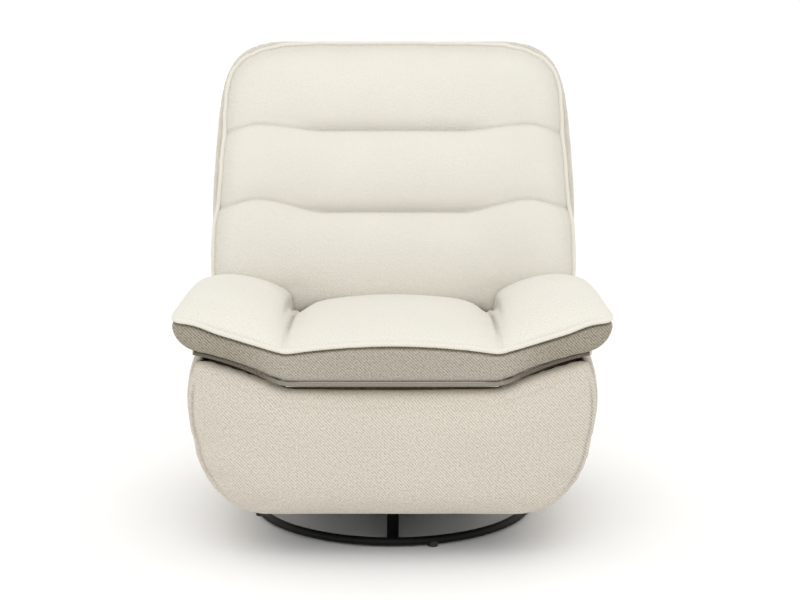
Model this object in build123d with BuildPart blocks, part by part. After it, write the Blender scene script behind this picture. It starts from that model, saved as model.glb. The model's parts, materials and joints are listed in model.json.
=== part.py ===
"""Swivel recliner: ring base, swivel, tub body, reclining back and a folding leg rest on four-bar links.

Millimetres, Z up. The origin lies on the floor under the swivel axis and the chair faces -Y.
"""
import math
import os

from build123d import *

# Overall sizes
seat_front = 440.0            # swivel axis to the front of the seat and arm pads
tub_rear = 440.0              # swivel axis to the rear of the tub
arm_tip = 450.0               # swivel axis to the outer tip of an arm pad
soft_gap = 0.3                # clearance between padded pieces and what they rest on

# Ring base
ring_radius = 311.0
ring_tube = 18.0
glide_rise = 4.0              # floor to the underside of the ring
glide_diameter = 22.0
glide_height = 12.0
glide_angle = 16.0            # first glide, round from the front spoke
glide_count = 4
spoke_width = 25.0
spoke_height = 14.0
hub_radius = 100.0
hub_thickness = 5.0
hub_chamfer = 1.6

# Swivel bearing
swivel_plate_size = 230.0
swivel_plate_thickness = 4.0
swivel_corner = 24.0
thrust_radius = 78.0
thrust_width = 26.0
thrust_height = 8.0
king_bolt = 20.0
king_head = 34.0
king_head_height = 6.0
king_chamfer = 1.5
running_clearance = 0.06
swivel_gap = 0.3              # thrust ring to the turning plate

# Chassis
beam_width = 40.0
beam_wall = 3.0
beam_corner = 4.5
beam_spacing = 180.0
beam_length = 486.0
floor_thickness = 9.0
floor_gap = 0.2
plate_inner = 240.0           # swivel axis to the inner face of a mechanism plate
plate_thickness = 3.0
plate_corner = 17.6
flange_width = 40.0
rail_thickness = 22.0
rail_height = 55.0
rail_front = -350.0
rail_rear = 95.0
plate_top_drop = 6.0          # seat deck to the top edge of a mechanism plate
rail_bolt_place = -78.0       # middle of the bolts along a side rail
rail_bolt_spacing = 225.0
rail_bolt_rise = 24.0
bolt_head = 14.0
bolt_head_height = 3.0

# Seat and arm pads
seam_half = 214.0             # swivel axis to the seam between the seat and an arm pad
seat_bottom = 386.0
deck_thickness = 9.0
deck_front = -423.0
deck_hole = 40.0
deck_hole_across = 192.0
deck_hole_along = 175.0
arm_board_inner = 246.0
arm_board_thickness = 9.0
arm_board_front = -423.0
arm_board_rear = 150.0
arm_inner_rise = 11.0         # pad underside above the seat bottom at the board's inner end
arm_mid_share = 0.42          # of the board's width, where its bend is given
arm_mid_rise = 41.0
arm_outer_rise = 66.0
seat_rear = 128.0
boxing_lean = 18.0            # how far the boxing's lower edge stands behind the welt
seat_stations = [
    # share of the length from the front, then heights over the underside: seam, crown
    (0.0, 63.0, 82.0),
    (0.02, 69.0, 92.0),
    (0.09, 78.0, 104.0),
    (0.21, 88.0, 113.0),
    (0.39, 95.0, 119.0),
    (0.58, 94.0, 118.0),
    (0.79, 78.0, 101.0),
    (0.92, 66.0, 87.0),
    (1.0, 59.0, 79.0),
]
arm_front = 439.0
arm_rear = 180.0
arm_crown = 358.0             # swivel axis to the highest line of an arm pad
arm_stations = [
    # share of the length from the front, tip inset, then heights over the seat's underside:
    # tip, crown, seam; last, fullness of the inner slope
    (0.0, 13.0, 130.0, 109.0, 63.0, 0.52),
    (0.02, 4.0, 133.0, 125.0, 69.0, 0.58),
    (0.08, 0.0, 132.0, 145.0, 78.0, 0.66),
    (0.19, 0.0, 130.0, 160.0, 88.0, 0.73),
    (0.35, 1.0, 128.0, 168.0, 95.0, 0.76),
    (0.53, 3.0, 126.0, 167.0, 94.0, 0.77),
    (0.72, 8.0, 119.0, 148.0, 77.0, 0.76),
    (0.87, 13.0, 111.0, 132.0, 66.0, 0.75),
    (1.0, 18.0, 104.0, 119.0, 59.0, 0.74),
]
tip_roll = 9.0
shoulder_swell = 6.0
shoulder_share = 0.22         # extra swell for each millimetre that the crown stands above the tip

# Tub walls
tub_front = -366.0
tub_half_front = 422.0
tub_half_rear = 448.0
tub_side_end = 215.0          # where the straight side turns into the rear corner
tub_corner = 200.0
tub_wall = 20.0
tub_bottom = 105.0
tub_tuck = 166.0              # how far the wall turns in under the chair
tub_knee = 258.0              # height where the under-roll begins
tub_knee_inset = 10.0
tub_belly = 360.0             # height of the widest line
tub_rim = 437.0
tub_rim_inset = 20.0
arm_board_inset = 20.0        # widest line at the tub's front to the arm board's outer edge
rim_drop_start = 150.0
rim_mid_height = 364.0
rim_mid = 300.0
rim_rear = 314.0

# Footrest panel
panel_rear = -368.0
panel_board = 12.0
panel_pad = 48.0
panel_half = 416.0
panel_bottom = 106.0
panel_top = 364.0
panel_shoulder = 398.0
panel_shoulder_gap = 15.0     # panel's shoulders under the arm boards
panel_smile = 4.0             # ends of the panel's top edge above its middle
panel_rise_swell = 6.0        # fullness of the rise towards a shoulder
panel_board_inset = 8.0
pad_stations = [
    # share of the pad's thickness in front of the board, inset of the outline
    (0.0, 4.0),
    (0.3, 0.0),
    (0.55, 4.0),
    (0.76, 14.0),
    (0.9, 32.0),
    (1.0, 70.0),
]
panel_belly_share = 0.6       # widest line between the under-roll and the shoulder

# Footrest linkage, closed: distances forward of the swivel axis, and heights
shaft_forward = 304.0
shaft_height = 281.5
shaft_diameter = 20.0
bush_diameter = 26.0
bush_flange = 32.0
bush_flange_thickness = 1.5
guide_forward = 273.5
guide_height = 330.0
rear_link_length = 141.3
rear_link_angle = -104.5
front_link_length = 195.7
front_link_angle = 68.8
lug_length = 30.3             # front link pivot to the rear guide's pivot
lug_angle = 139.7
cell_length = 44.0            # side of the footrest parallelogram
cell_angle = 94.0
link_thickness = 3.0
link_gap = 2.0
pin_diameter = 8.0
pin_clearance = 0.05
pin_head = 13.0
pin_head_thickness = 1.4
bend_length = 55.0            # front guide's lower pivot to its bend
bend_angle = 30.0
guide_slack = 1.0             # play at the open end of the rear guide
cell_slack = 0.15             # play at the open end of the front guide
lug_radius = 11.0
guide_lug_radius = 9.0
hub_lug_radius = 18.0
foot_drop = 70.0              # length of a footrest bracket's foot below the panel pivot
foot_width = 32.0

# Back
back_pivot_y = 190.0
back_pivot_z = 400.0
back_lean = 11.3
back_plane_y = 244.0          # back plane at the pivot's height
back_top = 1043.0
upright_width = 30.0
upright_depth = 28.0
upright_low = -40.0
upright_high = 580.0
cross_rail_height = 40.0
low_rail = 50.0
webbing_width = 50.0
webbing_thickness = 2.0
webbing_count = 5
webbing_low = 130.0
webbing_pitch = 90.0
bracket_thickness = 4.0
bracket_gap = 2.0
bracket_reach = 150.0
bracket_lug = 22.0
back_pin = 14.0
back_pin_head = 21.0
shell_wall = 14.0
shell_bottom = 290.0
cushion_rear = 3.0            # cushion back face in front of the back plane
cushion_low = 24.0            # heights along the lean, from the pivot's level
cushion_high = 646.0
cushion_wide = 190.0
cushion_half_wide = 419.0
cushion_low_inset = 22.0
cushion_taper = 0.06
cushion_corner = 122.0
cushion_edge = 74.0
cushion_crown = 134.0
cushion_top_thinning = 0.42
end_thinning = 0.6
channel_heights = (221.0, 416.0)
channel_depth = 26.0
roll_steps = 6
roll_roundness = 0.6
side_fullness = 5.0
shell_stations = [
    # height, half width, rear face along Y
    (shell_bottom, 388.0, 372.0),
    (440.0, 396.0, 382.0),
    (520.0, 416.0, 402.0),
    (600.0, 434.0, 409.0),
    (700.0, 434.0, 411.0),
    (830.0, 424.0, 411.0),
    (940.0, 408.0, 406.0),
    (1000.0, 380.0, 397.0),
    (1030.0, 334.0, 386.0),
    (back_top, 276.0, 376.0),
]
shell_corner_share = 0.86     # rear corner radius as a share of the shell's depth
shell_bow_share = 0.06        # swell of the rear face as a share of the depth
back_clearance = 3.0          # room kept round the back cushion by the arm pads

# Heights that follow
ring_height = glide_rise + ring_tube / 2
spoke_low = ring_height - spoke_height / 2
hub_low = spoke_low + spoke_height
thrust_low = hub_low + hub_thickness + swivel_plate_thickness
turn_low = thrust_low + thrust_height + swivel_gap
beam_low = turn_low + swivel_plate_thickness
floor_low = tub_bottom
beam_height = floor_low - beam_low
deck_low = seat_bottom - soft_gap - deck_thickness
rail_low = deck_low - rail_height
flange_low = floor_low + floor_thickness
arm_board_outer = tub_half_front - arm_board_inset
panel_shoulder_height = seat_bottom + arm_outer_rise - arm_board_thickness - panel_shoulder_gap


def yz(x):
    """A sketch plane at x, with Y to its right and Z up."""
    return Plane.YZ.offset(x)


def xz(y):
    """A sketch plane at y, with X to its right and Z up."""
    return Plane.XZ.offset(-y)


def mirrored(piece):
    """The same piece on the other side of the chair."""
    with BuildPart() as twin:
        mirror(piece, about=Plane.YZ)
    return twin.part


def polar_point(start, length, angle):
    """A point at a length and an angle from a start, in forward and upward distances."""
    turn = math.radians(angle)
    return (start[0] + length * math.cos(turn), start[1] + length * math.sin(turn))


def at(point):
    """A forward and upward point as a place in a YZ sketch."""
    return (-point[0], point[1])


# Ring base
with BuildPart() as base_ring:
    with Locations((0, 0, ring_height)):
        Torus(ring_radius, ring_tube / 2)

with BuildPart() as base_glides:
    with PolarLocations(ring_radius, glide_count, start_angle=glide_angle - 90):
        Cylinder(
            glide_diameter / 2,
            glide_height,
            align=(Align.CENTER, Align.CENTER, Align.MIN),
        )
    with Locations((0, 0, ring_height)):
        Torus(ring_radius, ring_tube / 2 + running_clearance, mode=Mode.SUBTRACT)


def make_spoke(turn):
    """One flat spoke from the hub out to the ring, coped round the tube."""
    with BuildPart() as spoke:
        with BuildSketch(Plane.XY.offset(spoke_low)):
            with Locations(Rot(0, 0, turn)):
                with Locations((ring_radius / 2 + spoke_width / 4, 0)):
                    Rectangle(ring_radius - spoke_width / 2, spoke_width)
        extrude(amount=spoke_height)
        with Locations((0, 0, ring_height)):
            Torus(ring_radius, ring_tube / 2 + running_clearance, mode=Mode.SUBTRACT)
    return spoke.part


spoke_names = ["spoke_left", "spoke_rear", "spoke_right", "spoke_front"]
spokes = {name: make_spoke(90.0 * turn) for turn, name in enumerate(spoke_names)}

with BuildPart() as base_hub:
    with BuildSketch(Plane.XY.offset(hub_low)):
        Circle(hub_radius)
        Circle(king_bolt / 2, mode=Mode.SUBTRACT)
    extrude(amount=hub_thickness)
    chamfer(base_hub.edges().group_by(Axis.Z)[-1].sort_by(SortBy.LENGTH)[-1], hub_chamfer)

# Swivel bearing
with BuildPart() as swivel_lower:
    with BuildSketch(Plane.XY.offset(hub_low + hub_thickness)):
        RectangleRounded(swivel_plate_size, swivel_plate_size, swivel_corner)
        Circle(king_bolt / 2, mode=Mode.SUBTRACT)
    extrude(amount=swivel_plate_thickness)

with BuildPart() as thrust_ring:
    with BuildSketch(Plane.XY.offset(thrust_low)):
        Circle(thrust_radius + thrust_width / 2)
        Circle(thrust_radius - thrust_width / 2, mode=Mode.SUBTRACT)
    extrude(amount=thrust_height)

with BuildPart() as swivel_upper:
    with BuildSketch(Plane.XY.offset(turn_low)):
        RectangleRounded(swivel_plate_size, swivel_plate_size, swivel_corner)
        Circle(king_bolt / 2 + running_clearance, mode=Mode.SUBTRACT)
    extrude(amount=swivel_plate_thickness)

with BuildPart() as king_bolt_pin:
    with BuildSketch(Plane.XY.offset(hub_low)):
        Circle(king_bolt / 2)
    extrude(amount=beam_low + swivel_gap - hub_low)
    with BuildSketch(Plane.XY.offset(beam_low + swivel_gap)):
        Circle(king_head / 2)
    extrude(amount=king_head_height)
    chamfer(king_bolt_pin.edges().group_by(Axis.Z)[-1], king_chamfer)


# Chassis
def make_beam(y):
    """A rectangular steel tube across the chair."""
    with BuildPart() as beam:
        with BuildSketch(yz(-beam_length / 2)):
            with Locations((y, beam_low + beam_height / 2)):
                RectangleRounded(beam_width, beam_height, beam_corner)
                Rectangle(beam_width - 2 * beam_wall, beam_height - 2 * beam_wall, mode=Mode.SUBTRACT)
        extrude(amount=beam_length)
    return beam.part


beam_front = make_beam(-beam_spacing / 2)
beam_rear = make_beam(beam_spacing / 2)

# The tub's rear runs round two corner arcs and one wide arc that meets them at a tangent
corner_reach = tub_half_rear - tub_corner
corner_depth = tub_rear - tub_side_end - tub_corner
centre_shift = (corner_reach**2 + corner_depth**2) / (2 * corner_depth)
rear_radius = tub_corner + centre_shift
rear_turn = math.degrees(math.asin(corner_reach / centre_shift))
corner_turn = 90.0 - rear_turn

floor_corner = tub_corner - tub_tuck - floor_gap
floor_front_half = tub_half_front - tub_tuck - floor_gap
floor_rear = tub_rear - tub_tuck - floor_gap
corner_centre = (corner_reach, tub_side_end)
corner_start = polar_point(corner_centre, floor_corner, 0)
corner_mid = polar_point(corner_centre, floor_corner, corner_turn / 2)
corner_end = polar_point(corner_centre, floor_corner, corner_turn)
with BuildPart() as floor_board:
    with BuildSketch(Plane.XY.offset(floor_low)):
        with BuildLine():
            Polyline((0, tub_front), (floor_front_half, tub_front), corner_start)
            ThreePointArc(corner_start, corner_mid, corner_end)
            ThreePointArc(corner_end, (0, floor_rear), (-corner_end[0], corner_end[1]))
            mirror(about=Plane.YZ)
        make_face()
    extrude(amount=floor_thickness)

# Footrest pivots, closed, as forward and upward distances
shaft_point = (shaft_forward, shaft_height)
guide_point = (guide_forward, guide_height)
elbow_point = polar_point(shaft_point, rear_link_length, rear_link_angle)
panel_point = polar_point(elbow_point, front_link_length, front_link_angle)
lug_point = polar_point(elbow_point, lug_length, lug_angle)
cell_low_point = polar_point(elbow_point, cell_length, cell_angle)
cell_high_point = polar_point(panel_point, cell_length, cell_angle)
bend_point = polar_point(cell_low_point, bend_length, front_link_angle + bend_angle)


def layer(number):
    """The inner face of a link layer, counted outward from the mechanism plate."""
    return plate_inner + plate_thickness + link_gap + (number - 1) * (link_thickness + link_gap)


plate_front = -(shaft_forward + bush_flange)
plate_top = deck_low - plate_top_drop
ear_radius = bracket_lug
with BuildPart() as left_plate:
    with BuildSketch(yz(plate_inner)):
        with BuildLine():
            Polyline(
                (plate_front, plate_top),
                (plate_front, shaft_height - bush_flange),
                (-beam_spacing / 2 - beam_width, flange_low),
                (beam_spacing / 2 + beam_width, flange_low),
                (back_pivot_y + ear_radius, back_pivot_z - ear_radius),
                (back_pivot_y + ear_radius, back_pivot_z + ear_radius),
                (back_pivot_y - ear_radius, back_pivot_z + ear_radius),
                (back_pivot_y - ear_radius, plate_top),
                close=True,
            )
        make_face()
        fillet(vertices().group_by(Axis.Y)[1:], plate_corner)
        with Locations(at(shaft_point)):
            Circle(bush_diameter / 2, mode=Mode.SUBTRACT)
        with Locations(at(guide_point)):
            Circle(pin_diameter / 2, mode=Mode.SUBTRACT)
        with Locations((back_pivot_y, back_pivot_z)):
            Circle(back_pin / 2, mode=Mode.SUBTRACT)
    extrude(amount=plate_thickness)
    with BuildSketch(Plane.XY.offset(flange_low)):
        with Locations((plate_inner - flange_width / 2, 0)):
            Rectangle(flange_width, beam_spacing + beam_width)
    extrude(amount=plate_thickness)
right_plate = mirrored(left_plate.part)


# Seat frame
rail_half = plate_inner - rail_thickness
with BuildPart() as left_seat_rail:
    with BuildSketch(yz(rail_half)):
        with Locations(((rail_front + rail_rear) / 2, rail_low + rail_height / 2)):
            Rectangle(rail_rear - rail_front, rail_height)
    extrude(amount=rail_thickness)
right_seat_rail = mirrored(left_seat_rail.part)


def make_cross_rail(y):
    """A seat rail between the two side rails, its rear face at y."""
    with BuildPart() as rail:
        with BuildSketch(xz(y)):
            with Locations((0, rail_low + rail_height / 2)):
                Rectangle(2 * rail_half, rail_height)
        extrude(amount=rail_thickness)
    return rail.part


front_seat_rail = make_cross_rail(rail_front + rail_thickness)
rear_seat_rail = make_cross_rail(rail_rear)

deck_rear = rail_rear
with BuildPart() as seat_deck:
    with BuildSketch(Plane.XY.offset(deck_low)):
        with BuildLine():
            Polyline((0, deck_front), (seam_half, deck_front), (plate_inner, rail_front))
            Polyline((plate_inner, rail_front), (plate_inner, deck_rear), (0, deck_rear))
            mirror(about=Plane.YZ)
        make_face()
        with Locations((0, (deck_front + deck_rear) / 2)):
            with GridLocations(deck_hole_across, deck_hole_along, 2, 2):
                Circle(deck_hole, mode=Mode.SUBTRACT)
    extrude(amount=deck_thickness)

with BuildPart() as rail_bolts:
    with BuildSketch(yz(plate_inner + plate_thickness)):
        with Locations((rail_bolt_place, rail_low + rail_height / 2)):
            with GridLocations(rail_bolt_spacing, rail_bolt_rise, 2, 2):
                RegularPolygon(bolt_head / 2, 6)
    extrude(amount=bolt_head_height)
    mirror(about=Plane.YZ)

with BuildPart() as flange_bolts:
    with BuildSketch(Plane.XY.offset(flange_low + plate_thickness)):
        with GridLocations(2 * plate_inner - flange_width, beam_spacing, 2, 2):
            RegularPolygon(bolt_head / 2, 6)
    extrude(amount=bolt_head_height)

# Arm boards: bent ply under each arm pad
arm_mid = arm_board_inner + arm_mid_share * (arm_board_outer - arm_board_inner)
arm_under = [
    (arm_board_inner, seat_bottom + arm_inner_rise),
    (arm_mid, seat_bottom + arm_mid_rise),
    (arm_board_outer, seat_bottom + arm_outer_rise),
]


def board_section(drop):
    """An arm board's section, with its lower side dropped by a clearance."""
    with BuildSketch(xz(arm_board_rear)) as section:
        with BuildLine():
            upper = ThreePointArc(*[(x, z - soft_gap) for x, z in arm_under])
            lower = ThreePointArc(*[(x, z - soft_gap - arm_board_thickness - drop) for x, z in arm_under])
            Line(upper @ 0, lower @ 0)
            Line(upper @ 1, lower @ 1)
        make_face()
    return section.sketch


with BuildPart() as left_arm_board:
    add(board_section(0.0))
    extrude(amount=arm_board_rear - arm_board_front, dir=(0, -1, 0))
right_arm_board = mirrored(left_arm_board.part)
with BuildPart() as board_room:
    add(board_section(soft_gap))
    extrude(amount=arm_board_rear - arm_board_front, dir=(0, -1, 0))

# The boxing along the front of the seat and arm pads leans in below the welt
boxing_top = seat_bottom + seat_stations[0][2]
with BuildPart() as boxing_room:
    with BuildSketch(yz(-arm_tip)):
        with BuildLine():
            Polyline(
                (-seat_front, boxing_top),
                (boxing_lean - seat_front, seat_bottom),
                (-seat_front, seat_bottom),
                close=True,
            )
        make_face()
    extrude(amount=2 * arm_tip)

# Seat cushion: crowned between the two seams, full in the middle and rolled down to the front
with BuildPart() as seat_cushion:
    for share, seam, crown in seat_stations:
        seam_height = seat_bottom + seam
        half = seam_half - soft_gap / 2
        with BuildSketch(xz(share * (seat_rear + seat_front) - seat_front)):
            with BuildLine():
                Line((-half, seat_bottom), (half, seat_bottom))
                Line((half, seat_bottom), (half, seam_height))
                ThreePointArc((half, seam_height), (0, seat_bottom + crown), (-half, seam_height))
                Line((-half, seam_height), (-half, seat_bottom))
            make_face()
    loft(ruled=True)
    add(boxing_room.part, mode=Mode.SUBTRACT)

# Back: everything on a leaning plane that looks forward
lean = math.radians(back_lean)
back_forward = (0, -math.cos(lean), math.sin(lean))
back_upward = (0, math.sin(lean), math.cos(lean))
back_plane = Plane((0, back_plane_y, back_pivot_z), x_dir=(1, 0, 0), z_dir=back_forward)


def back_point(height, depth):
    """A place on the back's side view as Y and Z: height along the lean, depth behind the plane."""
    return (
        back_plane_y + height * back_upward[1] - depth * back_forward[1],
        back_pivot_z + height * back_upward[2] - depth * back_forward[2],
    )


# Back cushion: three soft rolls with two sewn channels between them
def cushion_half(height):
    """The cushion's half width at a height along the lean, with round top corners."""
    if height < cushion_wide:
        fall = (cushion_wide - height) / (cushion_wide - cushion_low)
        return cushion_half_wide - cushion_low_inset * fall**2
    straight = cushion_half_wide - cushion_taper * (height - cushion_wide)
    over = max(height - (cushion_high - cushion_corner), 0.0)
    return straight - cushion_corner + math.sqrt(max(cushion_corner**2 - over**2, 0.0))


def cushion_section(height, swell, grow):
    """One level of the cushion: flat behind, full at the sides, crowned in front."""
    taper = (height - cushion_low) / (cushion_high - cushion_low)
    half = cushion_half(height) + grow
    edge = cushion_edge * (1 - cushion_top_thinning * taper**3) * (1 - end_thinning * (1 - swell) / 3)
    crown = cushion_crown * (1 - cushion_top_thinning * taper**2) - channel_depth * (1 - swell)
    rear = -cushion_rear
    front = rear - edge - grow
    y, z = back_point(height, 0.0)
    with BuildSketch(Plane((0, y, z), x_dir=(1, 0, 0), z_dir=back_upward)) as section:
        with BuildLine():
            Line((-half, rear), (half, rear))
            ThreePointArc((half, rear), (half + side_fullness, (rear + front) / 2), (half, front))
            ThreePointArc((half, front), (0, rear - crown - grow), (-half, front))
            ThreePointArc((-half, front), (-half - side_fullness, (rear + front) / 2), (-half, rear))
        make_face()
    return section.sketch


def make_cushion(grow):
    """The whole cushion, roll by roll, grown by a clearance where other pieces keep clear of it."""
    bounds = (cushion_low, *channel_heights, cushion_high)
    with BuildPart() as cushion:
        add(cushion_section(cushion_low, 0.0, grow))
        for low, high in zip(bounds, bounds[1:]):
            for step in range(1, roll_steps + 1):
                share = step / roll_steps
                swell = math.sin(math.pi * share) ** roll_roundness
                add(cushion_section(low + (high - low) * share, swell, grow))
        loft(ruled=True)
    return cushion.part


back_cushion = make_cushion(0.0)
with BuildPart() as back_room:
    add(make_cushion(back_clearance))

# Arm pads: wings that rise from the seat seam to a rolled outer edge, notched round the back's pivot
bracket_inner = plate_inner + plate_thickness + bracket_gap
upright_inner = bracket_inner + bracket_thickness
pivot_reach = back_pivot_y - ear_radius - back_clearance
with BuildPart() as pivot_room:
    with BuildSketch(yz(plate_inner - pin_head_thickness - back_clearance)):
        with BuildLine():
            Polyline(
                (pivot_reach, seat_bottom),
                (pivot_reach, back_pivot_z + ear_radius + back_clearance),
                (arm_rear, back_pivot_z + ear_radius + back_clearance),
                (arm_rear, seat_bottom),
                close=True,
            )
        make_face()
    extrude(amount=upright_inner + 2 * back_clearance - plate_inner + pin_head_thickness + back_clearance)
with BuildPart() as left_arm_pad:
    for share, inset, tip_rise, crown_rise, seam, fullness in arm_stations:
        y = share * (arm_rear + arm_front) - arm_front
        tip_height = seat_bottom + tip_rise
        crown = seat_bottom + crown_rise
        seam_height = seat_bottom + seam
        tip = (arm_tip - inset, tip_height)
        inner = seam_half + soft_gap / 2
        slope = ((inner + arm_crown) / 2, seam_height + fullness * (crown - seam_height))
        shoulder_rise = shoulder_swell + shoulder_share * max(crown - tip_height, 0.0)
        shoulder = ((arm_crown + tip[0]) / 2, (crown + tip_height) / 2 + shoulder_rise)
        under = ((arm_board_outer + tip[0]) / 2 + tip_roll, (arm_under[2][1] + tip_height) / 2 - tip_roll)
        with BuildSketch(xz(y)):
            with BuildLine():
                Line((inner, seat_bottom), (inner, seam_height))
                ThreePointArc((inner, seam_height), slope, (arm_crown, crown))
                ThreePointArc((arm_crown, crown), shoulder, tip)
                ThreePointArc(tip, under, arm_under[2])
                ThreePointArc(*reversed(arm_under))
                Line(arm_under[0], (inner, seat_bottom))
            make_face()
    loft(ruled=True)
    add(boxing_room.part, mode=Mode.SUBTRACT)
    add(back_room.part, mode=Mode.SUBTRACT)
    add(pivot_room.part, mode=Mode.SUBTRACT)
right_arm_pad = mirrored(left_arm_pad.part)


# Tub walls: one wall section, drawn straight along the sides and turned round the rear
def wall_section(plane, reach):
    """The wall's section: rim, belly and the under-roll, with its widest line at the reach."""
    roll_radius = tub_knee - tub_bottom
    roll_centre = (reach - tub_tuck, tub_knee)
    outer_knee = (reach - tub_knee_inset, tub_knee)
    inner_knee = (reach - tub_knee_inset - tub_wall, tub_knee)
    outer_rim = (reach - tub_rim_inset, tub_rim)
    inner_rim = (reach - tub_rim_inset - tub_wall, tub_rim)
    outer_roll = polar_point(roll_centre, roll_radius, -45)
    inner_roll = polar_point(roll_centre, roll_radius - tub_wall, -45)
    with BuildSketch(plane) as section:
        with BuildLine():
            ThreePointArc((roll_centre[0], tub_bottom), outer_roll, outer_knee)
            ThreePointArc(outer_knee, (reach, tub_belly), outer_rim)
            Line(outer_rim, inner_rim)
            ThreePointArc(inner_rim, (reach - tub_wall, tub_belly), inner_knee)
            ThreePointArc(inner_knee, inner_roll, (roll_centre[0], tub_bottom + tub_wall))
            Line((roll_centre[0], tub_bottom + tub_wall), (roll_centre[0], tub_bottom))
        make_face()
    return section.sketch


# The rim falls away towards the rear, to let the back lean into the tub
rim_over = tub_rim + tub_wall
with BuildPart() as rim_fall:
    with BuildSketch(yz(-arm_tip)):
        with BuildLine():
            fall = ThreePointArc((rim_drop_start, tub_rim), (rim_mid, rim_mid_height), (tub_rear, rim_rear))
            Polyline(
                fall @ 1,
                (tub_rear + tub_wall, rim_rear),
                (tub_rear + tub_wall, rim_over),
                (rim_drop_start, rim_over),
                fall @ 0,
            )
        make_face()
    extrude(amount=2 * arm_tip)

side_run = Vector(tub_half_rear - tub_half_front, tub_side_end - tub_front, 0)
with BuildPart() as left_tub_side:
    add(wall_section(xz(tub_front), tub_half_front))
    extrude(amount=side_run.length, dir=side_run)
    add(rim_fall.part, mode=Mode.SUBTRACT)
    add(board_room.part, mode=Mode.SUBTRACT)
right_tub_side = mirrored(left_tub_side.part)

corner_axis = Axis((*corner_centre, 0), (0, 0, 1))
rear_axis = Axis((0, tub_rear - rear_radius, 0), (0, 0, 1))
rear_start = Vector(1, 0, 0).rotate(Axis.Z, corner_turn)
rear_plane = Plane(rear_axis.position, x_dir=rear_start, z_dir=rear_start.cross(Vector(0, 0, 1)))
corner_plane = Plane(corner_axis.position, x_dir=(1, 0, 0), z_dir=(0, -1, 0))
with BuildPart() as tub_rear_wall:
    add(wall_section(corner_plane, tub_corner))
    revolve(axis=corner_axis, revolution_arc=corner_turn)
    mirror(about=Plane.YZ)
    add(wall_section(rear_plane, rear_radius))
    revolve(axis=rear_axis, revolution_arc=2 * rear_turn)
    add(rim_fall.part, mode=Mode.SUBTRACT)


# Footrest panel
def panel_section(plane, inset):
    """The panel's outline: a curved top edge under the seat, full sides and round lower corners."""
    shoulder_x = panel_shoulder - inset
    shoulder_z = panel_shoulder_height - inset
    knee = (panel_half - tub_knee_inset - inset, tub_knee)
    side = (panel_half - inset, knee[1] + panel_belly_share * (shoulder_z - knee[1]))
    toe = (panel_half - tub_tuck, panel_bottom + inset)
    diagonal = math.sqrt(0.5)
    roll = (toe[0] + (knee[0] - toe[0]) * diagonal, knee[1] - (knee[1] - toe[1]) * diagonal)
    dip = (seam_half, panel_top + panel_smile - inset)
    rise = ((seam_half + shoulder_x) / 2, (dip[1] + shoulder_z) / 2 + panel_rise_swell)
    with BuildSketch(plane) as section:
        with BuildLine():
            ThreePointArc((-dip[0], dip[1]), (0, panel_top - inset), dip)
            ThreePointArc(dip, rise, (shoulder_x, shoulder_z))
            ThreePointArc((shoulder_x, shoulder_z), side, knee)
            ThreePointArc(knee, roll, toe)
            Line(toe, (-toe[0], toe[1]))
            ThreePointArc((-toe[0], toe[1]), (-roll[0], roll[1]), (-knee[0], knee[1]))
            ThreePointArc((-knee[0], knee[1]), (-side[0], side[1]), (-shoulder_x, shoulder_z))
            ThreePointArc((-shoulder_x, shoulder_z), (-rise[0], rise[1]), (-dip[0], dip[1]))
        make_face()
    return section.sketch


with BuildPart() as footrest_board:
    add(panel_section(xz(panel_rear), panel_board_inset))
    extrude(amount=panel_board, dir=(0, -1, 0))

pad_rear = panel_rear - panel_board - soft_gap
with BuildPart() as footrest_pad:
    for share, inset in pad_stations:
        add(panel_section(xz(pad_rear - share * panel_pad), inset))
    loft(ruled=True)


# Footrest links
def make_link(number, bars, bores):
    """A flat steel link in its layer: each bar is the hull of its lugs, with a bore at each pivot."""
    with BuildPart() as link:
        for bar in bars:
            with BuildSketch(yz(layer(number))):
                for point, radius in bar:
                    with Locations(at(point)):
                        Circle(radius)
                make_hull()
            extrude(amount=link_thickness)
        with BuildSketch(yz(layer(number))):
            for point, radius in bores:
                with Locations(at(point)):
                    Circle(radius)
        extrude(amount=link_thickness, mode=Mode.SUBTRACT)
    return link.part


pin_fit = pin_diameter / 2
pin_bore = pin_fit + pin_clearance
left_rear_link = make_link(
    1,
    [[(shaft_point, hub_lug_radius), (elbow_point, lug_radius), (cell_low_point, lug_radius)]],
    [(shaft_point, shaft_diameter / 2), (elbow_point, pin_fit), (cell_low_point, pin_fit)],
)
left_front_link = make_link(
    2,
    [
        [(elbow_point, lug_radius), (panel_point, lug_radius)],
        [(elbow_point, lug_radius), (lug_point, guide_lug_radius)],
    ],
    [(elbow_point, pin_bore), (panel_point, pin_fit), (lug_point, pin_fit)],
)
left_rear_guide = make_link(
    4,
    [[(guide_point, guide_lug_radius), (lug_point, guide_lug_radius)]],
    [(guide_point, pin_bore), (lug_point, pin_fit + guide_slack)],
)
left_front_guide = make_link(
    3,
    [
        [(cell_low_point, guide_lug_radius), (bend_point, guide_lug_radius)],
        [(bend_point, guide_lug_radius), (cell_high_point, guide_lug_radius)],
    ],
    [(cell_low_point, pin_bore), (cell_high_point, pin_fit + cell_slack)],
)
right_rear_link = mirrored(left_rear_link)
right_front_link = mirrored(left_front_link)
right_rear_guide = mirrored(left_rear_guide)
right_front_guide = mirrored(left_front_guide)

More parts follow.
